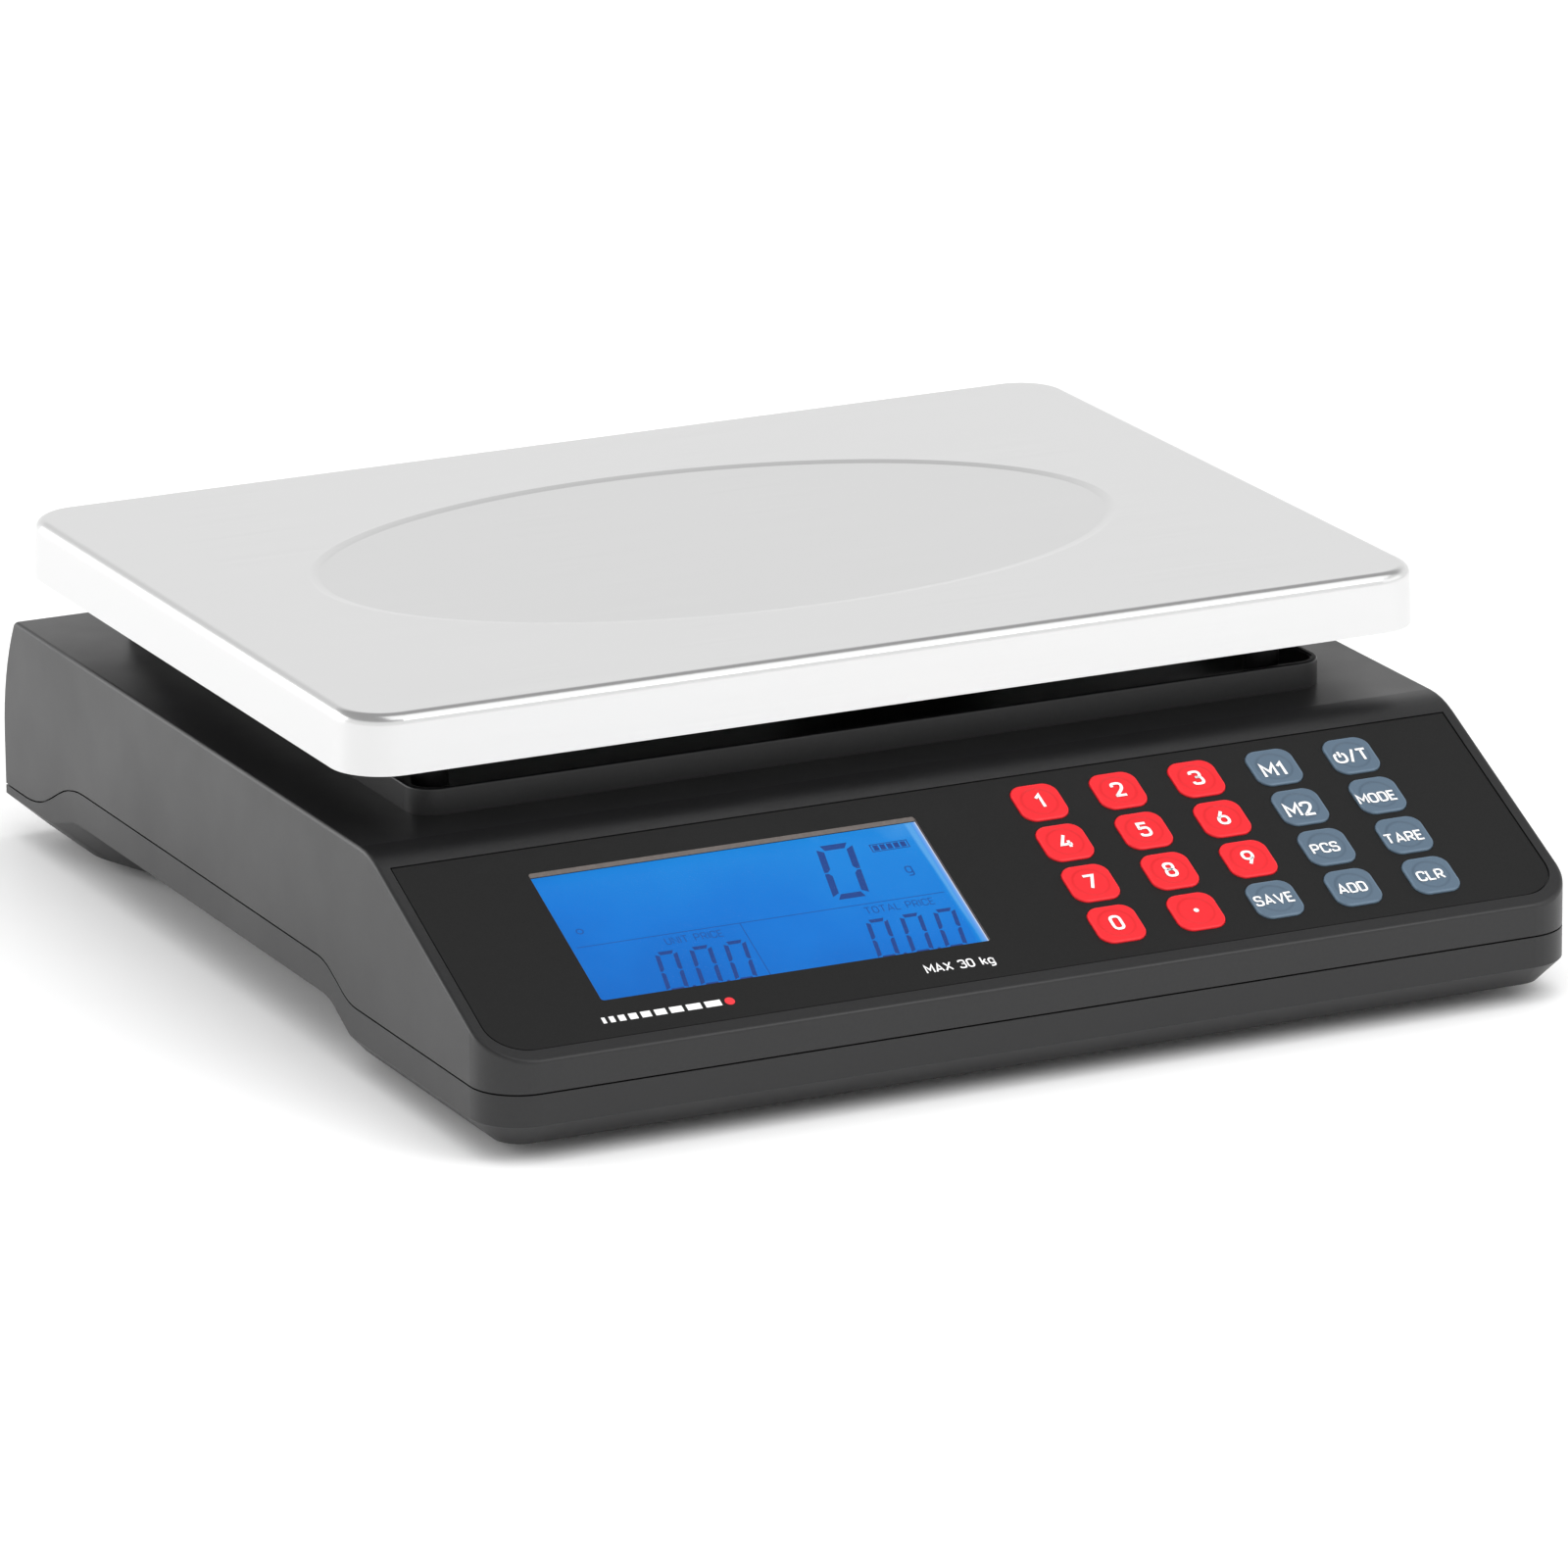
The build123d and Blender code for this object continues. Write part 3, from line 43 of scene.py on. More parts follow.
# ---------------------------------------------------------------- the sloping panel, in millimetres
SLOPE_TOP_Y, CASE_TOP, SLOPE_ANGLE = -89.8, 65.0, math.atan2(36.8, 77.2)
COS, SIN = math.cos(SLOPE_ANGLE), math.sin(SLOPE_ANGLE)
KEY_X0, KEY_PITCH_X, KEY_V0, KEY_PITCH_V = 28.0, 23.7, 18.5, 16.6
KEY_TOP, FILM_TOP, WINDOW_TOP, GLASS_TOP = 0.55, -0.15, -0.65, -2.3  # heights out of the panel
REAR_GLASS_Y, REAR_LCD_Z = 160.9, 39.0
DISH_X, DISH_Y = 118.5, 73.0  # half widths of the oval pressed in the pan
PRINT_T, FAINT_T, MARK_T = 0.02, 0.015, 0.012  # thickness of ink and segments, of faint print, of marks on the panel
GAP = 0.01  # keeps marks and the gasket off the glass under them


def on_panel(x, v, height=0.0):
    """Matrix of a spot on the panel: x across, v down the slope, height out of it."""
    spot = Vector((x, SLOPE_TOP_Y - v * COS - height * SIN, CASE_TOP - v * SIN + height * COS)) * MM
    turn = Matrix(((1, 0, 0), (0, COS, -SIN), (0, SIN, COS))).to_4x4()
    return Matrix.Translation(spot) @ turn


def on_back(x, z, y):
    """Matrix of a spot on the back wall, read from behind."""
    turn = Matrix(((-1, 0, 0), (0, 0, 1), (0, 1, 0))).to_4x4()
    return Matrix.Translation(Vector((x, y, z)) * MM) @ turn


# ---------------------------------------------------------------- material helpers
class Shader:
    """A Principled material with small helpers for its procedural detail."""

    def __init__(self, name, color, rough, metallic=0.0, specular=0.5):
        self.mat = bpy.data.materials.new(name)
        self.mat.use_nodes = True
        self.tree = self.mat.node_tree
        self.bsdf = self.tree.nodes["Principled BSDF"]
        self.bsdf.inputs["Base Color"].default_value = (*color, 1.0)
        self.bsdf.inputs["Roughness"].default_value = rough
        self.bsdf.inputs["Metallic"].default_value = metallic
        self.bsdf.inputs["Specular IOR Level"].default_value = specular
        self.color, self.rough = color, rough
        self.coords = self.node("ShaderNodeTexCoord").outputs["Object"]

    def node(self, kind, **settings):
        made = self.tree.nodes.new(kind)
        for key, value in settings.items():
            setattr(made, key, value)
        return made

    def link(self, a, b):
        self.tree.links.new(a, b)

    def math(self, operation, a, b=None, clamp=False):
        made = self.node("ShaderNodeMath", operation=operation, use_clamp=clamp)
        for slot, value in zip(made.inputs, (a, b)):
            if value is None:
                continue
            if isinstance(value, (int, float)):
                slot.default_value = value
            else:
                self.link(value, slot)
        return made.outputs[0]

    def stretched(self, scale):
        mapping = self.node("ShaderNodeMapping")
        mapping.inputs["Scale"].default_value = scale
        self.link(self.coords, mapping.inputs["Vector"])
        return mapping.outputs[0]

    def noise(self, scale, detail=3.0, rough=0.55, vector=None):
        made = self.node("ShaderNodeTexNoise")
        made.inputs["Scale"].default_value = scale
        made.inputs["Detail"].default_value = detail
        made.inputs["Roughness"].default_value = rough
        self.link(vector or self.coords, made.inputs["Vector"])
        return made.outputs["Fac"]

    def ramp(self, value, low, high, out_low, out_high, smooth=False):
        made = self.node("ShaderNodeMapRange")
        made.interpolation_type = "SMOOTHSTEP" if smooth else "LINEAR"
        for name, number in (("From Min", low), ("From Max", high), ("To Min", out_low), ("To Max", out_high)):
            made.inputs[name].default_value = number
        self.link(value, made.inputs["Value"])
        return made.outputs["Result"]

    def mix_colors(self, value, first, second):
        """The base colour goes from first to second as value goes from 0 to 1."""
        mix = self.node("ShaderNodeMix", data_type="RGBA")
        mix.inputs[6].default_value = (*first, 1)
        mix.inputs[7].default_value = (*second, 1)
        self.link(value, mix.inputs[0])
        self.link(mix.outputs[2], self.bsdf.inputs["Base Color"])

    def glow(self, value, stops):
        """Light of the colours in stops, each a position of value and a colour."""
        made = self.node("ShaderNodeValToRGB")
        elements = made.color_ramp.elements
        elements[0].position, elements[0].color = stops[0][0], (*stops[0][1], 1)
        elements[1].position, elements[1].color = stops[-1][0], (*stops[-1][1], 1)
        for place, color in stops[1:-1]:
            elements.new(place).color = (*color, 1)
        self.link(value, made.inputs[0])
        self.link(made.outputs[0], self.bsdf.inputs["Emission Color"])
        self.bsdf.inputs["Emission Strength"].default_value = 1.0

    def vary_color(self, value, amount, low=0.3, high=0.7):
        """Lightens and darkens the base colour by amount as value goes from low to high."""
        darker = [c * (1 - amount) for c in self.color]
        lighter = [min(1, c * (1 + amount)) for c in self.color]
        self.mix_colors(self.ramp(value, low, high, 0, 1), darker, lighter)

    def vary_rough(self, value, amount, low=0.3, high=0.7):
        self.link(
            self.ramp(value, low, high, max(0.02, self.rough - amount), min(1, self.rough + amount)),
            self.bsdf.inputs["Roughness"],
        )

    def bump(self, value, distance, strength=1.0):
        made = self.node("ShaderNodeBump")
        made.inputs["Strength"].default_value = strength
        made.inputs["Distance"].default_value = distance
        self.link(value, made.inputs["Height"])
        previous = self.bsdf.inputs["Normal"].links
        if previous:
            self.link(previous[0].from_socket, made.inputs["Normal"])
        self.link(made.outputs["Normal"], self.bsdf.inputs["Normal"])


def moulded(name, color, rough, grain=2600.0, depth=0.00003, specular=0.5, mottling=0.12):
    """Moulded plastic: a fine spark-eroded grain, and slow changes in gloss."""
    s = Shader(name, color, rough, specular=specular)
    fine = s.noise(grain, 2.0, 0.6)
    s.bump(fine, depth, 0.35)
    slow = s.noise(28.0, 3.0)
    s.vary_rough(slow, 0.04)
    s.vary_color(s.noise(grain * 0.35, 2.0), mottling)
    return s


def brushed(name, color, rough, along="x", streak=0.06, depth=0.000004):
    """Sheet or machined metal with fine lines along one direction."""
    s = Shader(name, color, rough, metallic=1.0)
    scale = {"x": (14, 2400, 2400), "y": (2400, 14, 2400), "z": (2400, 2400, 14)}[along]
    lines = s.noise(1.0, 4.0, 0.6, s.stretched(scale))
    s.vary_rough(lines, streak)
    s.vary_color(s.noise(18.0, 4.0), 0.03)
    s.bump(lines, depth, 0.3)
    return s


def pan_steel():
    """Satin stainless sheet, a shade darker inside the pressed oval."""
    s = brushed("pan_stainless", (0.655, 0.655, 0.655), 0.24, streak=0.025, depth=0.0000012)
    split = s.node("ShaderNodeSeparateXYZ")
    s.link(s.coords, split.inputs[0])
    low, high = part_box("pan")
    middle = (low[1] + high[1]) / 2
    across = s.math("DIVIDE", split.outputs[0], DISH_X * MM)
    along = s.math("DIVIDE", s.math("SUBTRACT", split.outputs[1], middle), DISH_Y * MM)
    squares = [s.math("MULTIPLY", part, part) for part in (across, along)]
    oval = s.math("SQRT", s.math("ADD", *squares))
    s.vary_color(oval, 0.035, 0.972, 1.0)
    return s


MATS = {}
MATS["case"] = moulded("case_abs", (0.0085, 0.0085, 0.009), 0.38)
MATS["base"] = moulded("base_abs", (0.007, 0.007, 0.0075), 0.42)
MATS["support"] = moulded("support_abs", (0.008, 0.008, 0.008), 0.5)
MATS["steel_pan"] = pan_steel()
MATS["film"] = moulded("panel_film", (0.0085, 0.0085, 0.0085), 0.5, grain=5200, depth=0.00001, specular=0.2)
MATS["rubber"] = moulded("foot_rubber", (0.022, 0.022, 0.022), 0.75, grain=1800, specular=0.3)
MATS["aluminium"] = brushed("machined_aluminium", (0.72, 0.73, 0.75), 0.3, "y", 0.1)
MATS["zinc"] = brushed("zinc_steel", (0.62, 0.63, 0.66), 0.25, "z", 0.08)
MATS["plate"] = brushed("plated_plate", (0.55, 0.55, 0.58), 0.38, "x", 0.08)
MATS["socket"] = moulded("socket_plastic", (0.012, 0.012, 0.012), 0.22, grain=3000, depth=0.00001)
MATS["battery"] = moulded("battery_case", (0.035, 0.035, 0.04), 0.55, grain=1500)
MATS["cable"] = moulded("cable_jacket", (0.02, 0.02, 0.02), 0.5, grain=2200)
MATS["chip"] = moulded("component_epoxy", (0.015, 0.015, 0.016), 0.6, grain=4000)
MATS["diffuser"] = moulded("light_guide", (0.75, 0.85, 0.95), 0.3, grain=3500, depth=0.00001)
MATS["film_circuit"] = moulded("circuit_film", (0.5, 0.32, 0.12), 0.35, grain=3000, depth=0.00001)


def key_material(name, color, edge_highlight):
    """A printed membrane key: a faint pressed ring where the dome sits, darkened in colour as painted shade, and
    paler edges as a painted highlight.
    """
    s = Shader(name, color, 0.34, specular=0.28)
    split = s.node("ShaderNodeSeparateXYZ")
    s.link(s.coords, split.inputs[0])
    x, y, z = split.outputs
    down = s.math("ADD", s.math("MULTIPLY", y, -COS), s.math("MULTIPLY", z, -SIN))
    v = s.math("ADD", down, (SLOPE_TOP_Y * COS + CASE_TOP * SIN) * MM)
    local = []  # millimetres across and down from the middle of the key
    for value, start, pitch in ((x, KEY_X0, KEY_PITCH_X), (v, KEY_V0, KEY_PITCH_V)):
        cell = s.math("DIVIDE", s.math("SUBTRACT", value, start * MM), pitch * MM)
        local.append(s.math("MULTIPLY", s.math("SUBTRACT", cell, s.math("ROUND", cell)), pitch))
    squares = [s.math("MULTIPLY", a, a) for a in local]
    radius = s.math("SQRT", s.math("ADD", *squares))
    dome = s.ramp(radius, 4.4, 5.6, 1.0, 0.0, smooth=True)
    s.bump(dome, 0.00022, 0.6)
    edge = s.math("MAXIMUM", s.math("ABSOLUTE", local[0]), s.math("ABSOLUTE", local[1]))
    off_ring = s.math("ABSOLUTE", s.math("SUBTRACT", radius, 5.0))
    # Painted shade: the pressed ring where the dome sits is darkened in colour.
    ring = s.math("SUBTRACT", 1.0, s.math("MULTIPLY", off_ring, 1.6), clamp=True)
    # Painted highlight: the key's edges are blended towards a paler highlight colour.
    shade_and_highlight = s.math("ADD", s.math("MULTIPLY", ring, -0.35), s.ramp(edge, 6.1, 6.9, 0.5, 1.0, smooth=True))
    s.mix_colors(shade_and_highlight, [c * 0.72 for c in color], edge_highlight)
    s.bump(s.noise(3600, 2.0), 0.00001, 0.3)
    return s


# The last colour of each key is the painted highlight on its edges.
MATS["key_red"] = key_material("key_red", (0.80, 0.010, 0.016), (0.86, 0.022, 0.032))
MATS["key_grey"] = key_material("key_blue_grey", (0.078, 0.122, 0.175), (0.115, 0.17, 0.23))

ink = Shader("white_ink", (0.86, 0.86, 0.86), 0.45)
ink.vary_color(ink.noise(1800), 0.05)
ink.bump(ink.noise(4200), 0.000006, 0.3)
MATS["ink"] = ink

accent = Shader("red_ink", (0.75, 0.02, 0.03), 0.45)
accent.vary_color(accent.noise(1800), 0.06)
MATS["accent"] = accent


def glass(name, color, alpha, rough=0.04):
    s = Shader(name, color, rough, specular=0.08)
    s.bsdf.inputs["Alpha"].default_value = alpha
    s.vary_rough(s.noise(60, 3), 0.02)
    return s


MATS["window"] = glass("display_window", (0.1, 0.15, 0.25), 0.03)
MATS["vial"] = glass("vial_liquid", (0.55, 0.85, 0.12), 0.85, 0.08)


def backlit(name, along_x, low, high):
    """Blue backlit glass: lighter towards its top and one end, cloudy from the light guide, with a pale edge."""
    s = Shader(name, (0.0, 0.005, 0.02), 0.3, specular=0.05)
    split = s.node("ShaderNodeSeparateXYZ")
    s.link(s.coords, split.inputs[0])
    across = s.ramp(split.outputs[0], along_x[0], along_x[1], 0.0, 0.34)
    rise = s.ramp(split.outputs[2], low, high, 0.0, 0.5)
    cloud = s.ramp(s.noise(32, 3), 0.3, 0.7, -0.1, 0.1)
    edge = s.ramp(split.outputs[0], along_x[1] - 0.003, along_x[1] - 0.0005, 0.0, 0.6, smooth=True)
    level = s.math("ADD", s.math("ADD", rise, across), s.math("ADD", cloud, edge))
    s.glow(level, [
        (0.0, (0.006, 0.140, 0.56)), (0.35, (0.007, 0.190, 0.68)),
        (0.75, (0.012, 0.250, 0.74)), (1.0, (0.11, 0.40, 0.84)),
    ])
    return s


def lit_ink(name, color):
    """A dark mark on the backlit glass."""
    s = Shader(name, (0.002, 0.006, 0.03), 0.4, specular=0.15)
    s.bsdf.inputs["Emission Color"].default_value = (*color, 1)
    s.bsdf.inputs["Emission Strength"].default_value = 1.0
    s.vary_color(s.noise(900), 0.1)
    return s


MATS["lcd"] = backlit("lcd_backlit", (-0.122, -0.0085), 0.036, 0.056)
MATS["rear_lcd"] = backlit("rear_lcd_backlit", (-0.05, 0.046), 0.026, 0.052)
MATS["segment"] = lit_ink("lcd_segment", (0.010, 0.050, 0.235))
MATS["faint"] = lit_ink("lcd_print", (0.005, 0.080, 0.340))

# Painted light: a glowing strip on the window that stands for light on the right wall of the display opening, paler
# towards its right end.
painted_wall_light = Shader("opening_wall_painted_light", (0.02, 0.03, 0.06), 0.4, specular=0.1)
edge_split = painted_wall_light.node("ShaderNodeSeparateXYZ")
painted_wall_light.link(painted_wall_light.coords, edge_split.inputs[0])
painted_wall_light.glow(painted_wall_light.ramp(edge_split.outputs[0], -0.0103, -0.0089, 0.0, 1.0), [
    (0.0, (0.04, 0.27, 0.74)), (0.72, (0.16, 0.36, 0.76)), (1.0, (0.62, 0.66, 0.78)),
])
MATS["painted_wall_light"] = painted_wall_light

gasket = Shader("window_gasket", (0.105, 0.088, 0.080), 0.6)
gasket.bump(gasket.noise(2600), 0.00002, 0.4)
gasket.vary_color(gasket.noise(900), 0.12)
MATS["gasket"] = gasket

board = Shader("solder_mask", (0.01, 0.10, 0.035), 0.3)
board.vary_color(board.noise(420, 4), 0.25)
board.bump(board.noise(900, 3), 0.00002, 0.3)
MATS["board"] = board

# ---------------------------------------------------------------- materials on the CAD nodes
RED_KEYS = {"key_point"} | {f"key_{digit}" for digit in range(10)}
LOOK = {
    "upper_housing": "case", "base_shell": "base", "battery_lid": "base", "pan": "steel_pan",
    "pan_support": "support", "pan_pads": "rubber", "load_cell": "aluminium", "cell_top_spacer": "aluminium",
    "cell_base_plate": "plate", "cell_base_bolts": "zinc", "cell_top_bolts": "zinc", "overload_stops": "zinc",
    "housing_screws": "zinc", "board_screws": "zinc", "battery": "battery", "battery_bracket": "plate",
    "main_board": "board", "board_parts": "chip", "front_display_board": "board", "rear_display_board": "board",
    "overlay": "film", "keypad_circuit": "film_circuit", "key_domes": "zinc", "front_window": "window",
    "rear_window": "window", "front_lcd": "lcd", "rear_lcd": "rear_lcd", "front_backlight": "diffuser",
    "rear_backlight": "diffuser", "dc_jack": "socket", "spirit_level": "vial", "wiring_loom": "cable",
}
for name, obj in nodes.items():
    if name.startswith("key_") and name != "key_domes":
        look = "key_red" if name in RED_KEYS else "key_grey"
    elif name.startswith("foot_pad"):
        look = "rubber"
    elif name.startswith("foot_screw"):
        look = "support"
    else:
        look = LOOK[name]
    obj.data.materials.clear()
    obj.data.materials.append(MATS[look].mat)


# ---------------------------------------------------------------- thin printed and etched pieces
def thin_piece(name, outlines, place, thick, look, body):
    """Flat shapes, each an outline in millimetres, raised a little as one piece on a spot of the object."""
    mesh = bpy.data.meshes.new(name)
    bm = bmesh.new()
    for outline in outlines:
        low = [bm.verts.new(Vector((x, y, 0)) * MM) for x, y in outline]
        high = [bm.verts.new(Vector((x, y, thick)) * MM) for x, y in outline]
        bm.faces.new(high)
        bm.faces.new(low[::-1])
        for i in range(len(outline)):
            j = (i + 1) % len(outline)
            bm.faces.new((low[i], low[j], high[j], high[i]))
    bmesh.ops.recalc_face_normals(bm, faces=bm.faces)
    bm.to_mesh(mesh)
    bm.free()
    return put(name, mesh, place, look, body)


def put(name, mesh, place, look, body):
    obj = bpy.data.objects.new(name, mesh)
    bpy.context.scene.collection.objects.link(obj)
    mesh.transform(place)
    mesh.materials.append(MATS[look].mat)
    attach(obj, body)
    return obj


# A plain rounded alphabet, its capitals CAP units tall. Each letter is its width and its strokes. A stroke is how
# far its corners are cut back to round them, then its corner points, and it closes where the last is the first.
# "@" is the power sign.
CAP, LETTER_GAP = 6.0, 1.55
BOWL = (1.6, (0, 6), (3.5, 6), (3.5, 2.7), (0, 2.7))
STEM = (0, (0, 0), (0, 6))
ALPHABET = {
    " ": (2.0, []),
    "/": (2.3, [(0, (0, -0.5), (2.3, 6.5))]),
    "@": (4.6, [(2.1, (1.2, 4.9), (0, 4.4), (0, 0.1), (4.6, 0.1), (4.6, 4.4), (3.4, 4.9)),
                (0, (2.3, 6.2), (2.3, 3))]),
    "0": (3.4, [(1.7, (0, 0), (3.4, 0), (3.4, 6), (0, 6), (0, 0))]),
    "1": (1.7, [(0, (0, 4.5), (1.6, 6), (1.6, 0))]),
    "2": (3.5, [(1.6, (0, 4.4), (0, 6), (3.4, 6), (3.4, 3.5), (0, 0)), (0, (-0.4, 0), (3.6, 0))]),
    "3": (3.5, [(1.5, (0, 4.8), (0, 6), (3.3, 6), (3.3, 3.2), (1.2, 3.2)),
                (1.5, (1.2, 3.2), (3.5, 3.2), (3.5, 0), (0, 0), (0, 1.2))]),
    "4": (3.8, [(0, (2.4, 6), (0.1, 1.5), (3.9, 1.5)), (0, (2.9, 3.2), (2.9, 0))]),
    "5": (3.5, [(0, (3.3, 6), (0.3, 6), (0.2, 3.1)),
                (1.7, (0.2, 3.2), (0.8, 3.8), (3.5, 3.8), (3.5, 0), (0, 0), (0, 1.2))]),
    "6": (3.5, [(1.75, (0, 0), (3.5, 0), (3.5, 3.6), (0, 3.6), (0, 0)), (0, (2.3, 6), (0.3, 2.6))]),
    "7": (3.6, [(0, (0, 6), (3.5, 6), (1.1, 0))]),
    "8": (3.5, [(1.6, (0, 0), (3.5, 0), (3.5, 3.2), (0, 3.2), (0, 0)),
                (1.4, (0.2, 3.2), (3.3, 3.2), (3.3, 6), (0.2, 6), (0.2, 3.2))]),
    "9": (3.5, [(1.75, (0, 2.4), (3.5, 2.4), (3.5, 6), (0, 6), (0, 2.4)), (0, (1.2, 0), (3.2, 3.4))]),
    "A": (4.2, [(0, (0, 0), (2.1, 6), (4.2, 0)), (0, (0.7, 1.7), (3.5, 1.7))]),
    "C": (3.6, [(1.7, (3.6, 4.3), (3.6, 6), (0, 6), (0, 0), (3.6, 0), (3.6, 1.7))]),
    "D": (3.6, [STEM, (1.9, (0, 6), (3.6, 6), (3.6, 0), (0, 0))]),
    "E": (3.1, [(0, (3.2, 6), (0, 6), (0, 0), (3.2, 0)), (0, (0, 3.1), (2.8, 3.1))]),
    "I": (0.0, [STEM]),
    "L": (3.0, [(0, (0, 6), (0, 0), (3.1, 0))]),
    "M": (4.5, [(0, (0, 0), (0, 6), (2.25, 2.1), (4.5, 6), (4.5, 0))]),
    "N": (3.7, [(0, (0, 0), (0, 6), (3.7, 0), (3.7, 6))]),
    "O": (3.8, [(1.9, (0, 0), (3.8, 0), (3.8, 6), (0, 6), (0, 0))]),
    "P": (3.5, [STEM, BOWL]),
    "R": (3.6, [STEM, BOWL, (0, (1.8, 2.7), (3.6, 0))]),
    "S": (3.5, [(1.45, (3.4, 4.6), (3.4, 6), (0.1, 6), (0.1, 3.1), (3.5, 3.1), (3.5, 0), (0, 0), (0, 1.4))]),
    "T": (3.9, [(0, (0, 6), (3.9, 6)), (0, (1.95, 6), (1.95, 0))]),
    "U": (3.7, [(1.8, (0, 6), (0, 0), (3.7, 0), (3.7, 6))]),
    "V": (4.2, [(0, (0, 6), (2.1, 0), (4.2, 6))]),
    "X": (4.0, [(0, (0, 0), (4, 6)), (0, (0, 6), (4, 0))]),
    "g": (2.9, [(1.4, (0, 0.2), (2.9, 0.2), (2.9, 4.2), (0, 4.2), (0, 0.2)),
                (1.3, (2.9, 4.2), (2.9, -1.7), (0.2, -1.7))]),
    "k": (2.8, [STEM, (0, (2.7, 4.1), (0.2, 1.7)), (0, (1.1, 2.6), (2.8, 0))]),
}


def rounded(corners, cut, closed, steps=5):
    """The corner points of a stroke with each corner rounded off, cut back by at most half of each side."""
    path = []
    for i, corner in enumerate(corners):
        if not cut or not closed and i in (0, len(corners) - 1):
            path.append(corner)
            continue
        ends = [other - corner for other in (corners[i - 1], corners[(i + 1) % len(corners)])]
        start, end = (corner + side.normalized() * min(cut, 0.49 * side.length) for side in ends)
        for k in range(steps + 1):
            t = k / steps
            path.append(start * (1 - t) ** 2 + corner * 2 * t * (1 - t) + end * t * t)
    return path


def add_stroke(bm, path, closed, width, thick):
    """One flat ribbon with mitred corners, as a closed thin solid."""
    rings, count = [], len(path)
    for i, spot in enumerate(path):
        ahead = path[(i + 1) % count] - spot if closed or i < count - 1 else spot - path[i - 1]
        behind = spot - path[i - 1] if closed or i else ahead
        ahead, behind = ahead.normalized(), behind.normalized()
        middle = (ahead + behind).normalized()
        side = Vector((-middle.y, middle.x)) * width / 2 / max(0.45, middle.dot(ahead))
        rings.append([
            bm.verts.new((*(spot + sign * side), z)) for sign, z in ((1, 0), (1, thick), (-1, thick), (-1, 0))
        ])
    for i in range(count if closed else count - 1):
        a, b = rings[i], rings[(i + 1) % count]
        for k in range(4):
            bm.faces.new((a[k], a[(k + 1) % 4], b[(k + 1) % 4], b[k]))
    if not closed:
        bm.faces.new(rings[0])
        bm.faces.new(rings[-1][::-1])


def lettering(name, text, height, place, look, body, bold=1.0, thick=PRINT_T):
    """Printed text centred on place, its capitals height millimetres tall and its strokes bold units wide."""
    bm = bmesh.new()
    scale = height / (CAP + bold)
    total = sum(ALPHABET[letter][0] + LETTER_GAP for letter in text) - LETTER_GAP
    start = Vector((-total / 2, -CAP / 2))
    for letter in text:
        width, strokes = ALPHABET[letter]
        for cut, *points in strokes:
            closed = points[0] == points[-1]
            corners = [start + Vector(point) for point in (points[:-1] if closed else points)]
            path = [point * scale * MM for point in rounded(corners, cut, closed)]
            add_stroke(bm, path, closed, bold * scale * MM, thick * MM)
        start.x += width + LETTER_GAP
    bmesh.ops.recalc_face_normals(bm, faces=bm.faces)
    mesh = bpy.data.meshes.new(name)
    bm.to_mesh(mesh)
    bm.free()
    return put(name, mesh, place, look, body)


def disc(x, y, radius, steps=20):
    angles = [math.tau * i / steps for i in range(steps)]
    return [(x + radius * math.cos(a), y + radius * math.sin(a)) for a in angles]


def ring_outline(x, y, inner, outer, steps=20):
    """A ring as one outline, open by a hair so that it doesn't cross itself."""
    angles = [math.radians(359) * i / steps for i in range(steps + 1)]
    outside = [(x + outer * math.cos(a), y + outer * math.sin(a)) for a in angles]
    inside = [(x + inner * math.cos(a), y + inner * math.sin(a)) for a in reversed(angles)]
    return outside + inside


def box_outline(x0, y0, x1, y1):
    return [(x0, y0), (x1, y0), (x1, y1), (x0, y1)]


def zero_shapes(x, y, width, height, bar, lean=0.17, gap=0.35):
    """Mitred bars of a seven-segment zero whose lower left corner is (x, y), leaning like an LCD's."""
    half, b = height / 2, bar
    low = [(b * 0.5 + gap, 0), (b * 1.2, b), (width - b * 1.2, b), (width - b * 0.5 - gap, 0)]
    left = [(0, b * 0.5 + gap), (0, half - gap * 0.7), (b * 0.55, half - gap * 0.7), (b, half - b * 0.5 - gap)]
    left.append((b, b * 1.25))
    quarter = [low, left, [(width - px, py) for px, py in left]]
    shapes = quarter + [[(px, height - py) for px, py in shape] for shape in quarter]
    return [[(x + px + lean * py, y + py) for px, py in shape] for shape in shapes]


# Legends on the keys: the words, their capitals' height, and how far they sit to the right of and below the key's
# middle. The other keys have their digit.
WORD_H, MEMORY_H, DIGIT_H = 4.0, 5.6, 5.7
LEGENDS = {
    "key_m1": ("M1", MEMORY_H, -1.0, 1.4), "key_m2": ("M2", MEMORY_H, -1.0, 1.4),
    "key_power": ("@/T", 5.0, -0.4, 0.5), "key_mode": ("MODE", WORD_H, -1.0, 1.2),
    "key_pieces": ("PCS", WORD_H, -0.9, 0.7), "key_tare": ("TARE", WORD_H, -0.8, 1.2),
    "key_save": ("SAVE", WORD_H, -0.5, 0.3), "key_add": ("ADD", WORD_H, -0.7, 0.6),
    "key_clear": ("CLR", WORD_H, -0.4, 0.4),
}
ROWS = [
    ["key_1", "key_2", "key_3", "key_m1", "key_power"],
    ["key_4", "key_5", "key_6", "key_m2", "key_mode"],
    ["key_7", "key_8", "key_9", "key_pieces", "key_tare"],
    ["key_0", "key_point", "key_save", "key_add", "key_clear"],
]
for row, names in enumerate(ROWS):
    for column, key in enumerate(names):
        text, height, aside, down = LEGENDS.get(key, (key[-1], DIGIT_H, 0, 0))
        x, v = KEY_X0 + column * KEY_PITCH_X + aside, KEY_V0 + row * KEY_PITCH_V + down
        place = on_panel(x, v, KEY_TOP - 0.005)
        if key == "key_point":
            thin_piece("legend_key_point", [disc(0, 0, 0.75)], place, PRINT_T, "ink", key)
        else:
            lettering("legend_" + key, text, height, place, "ink", key, bold=1.1)

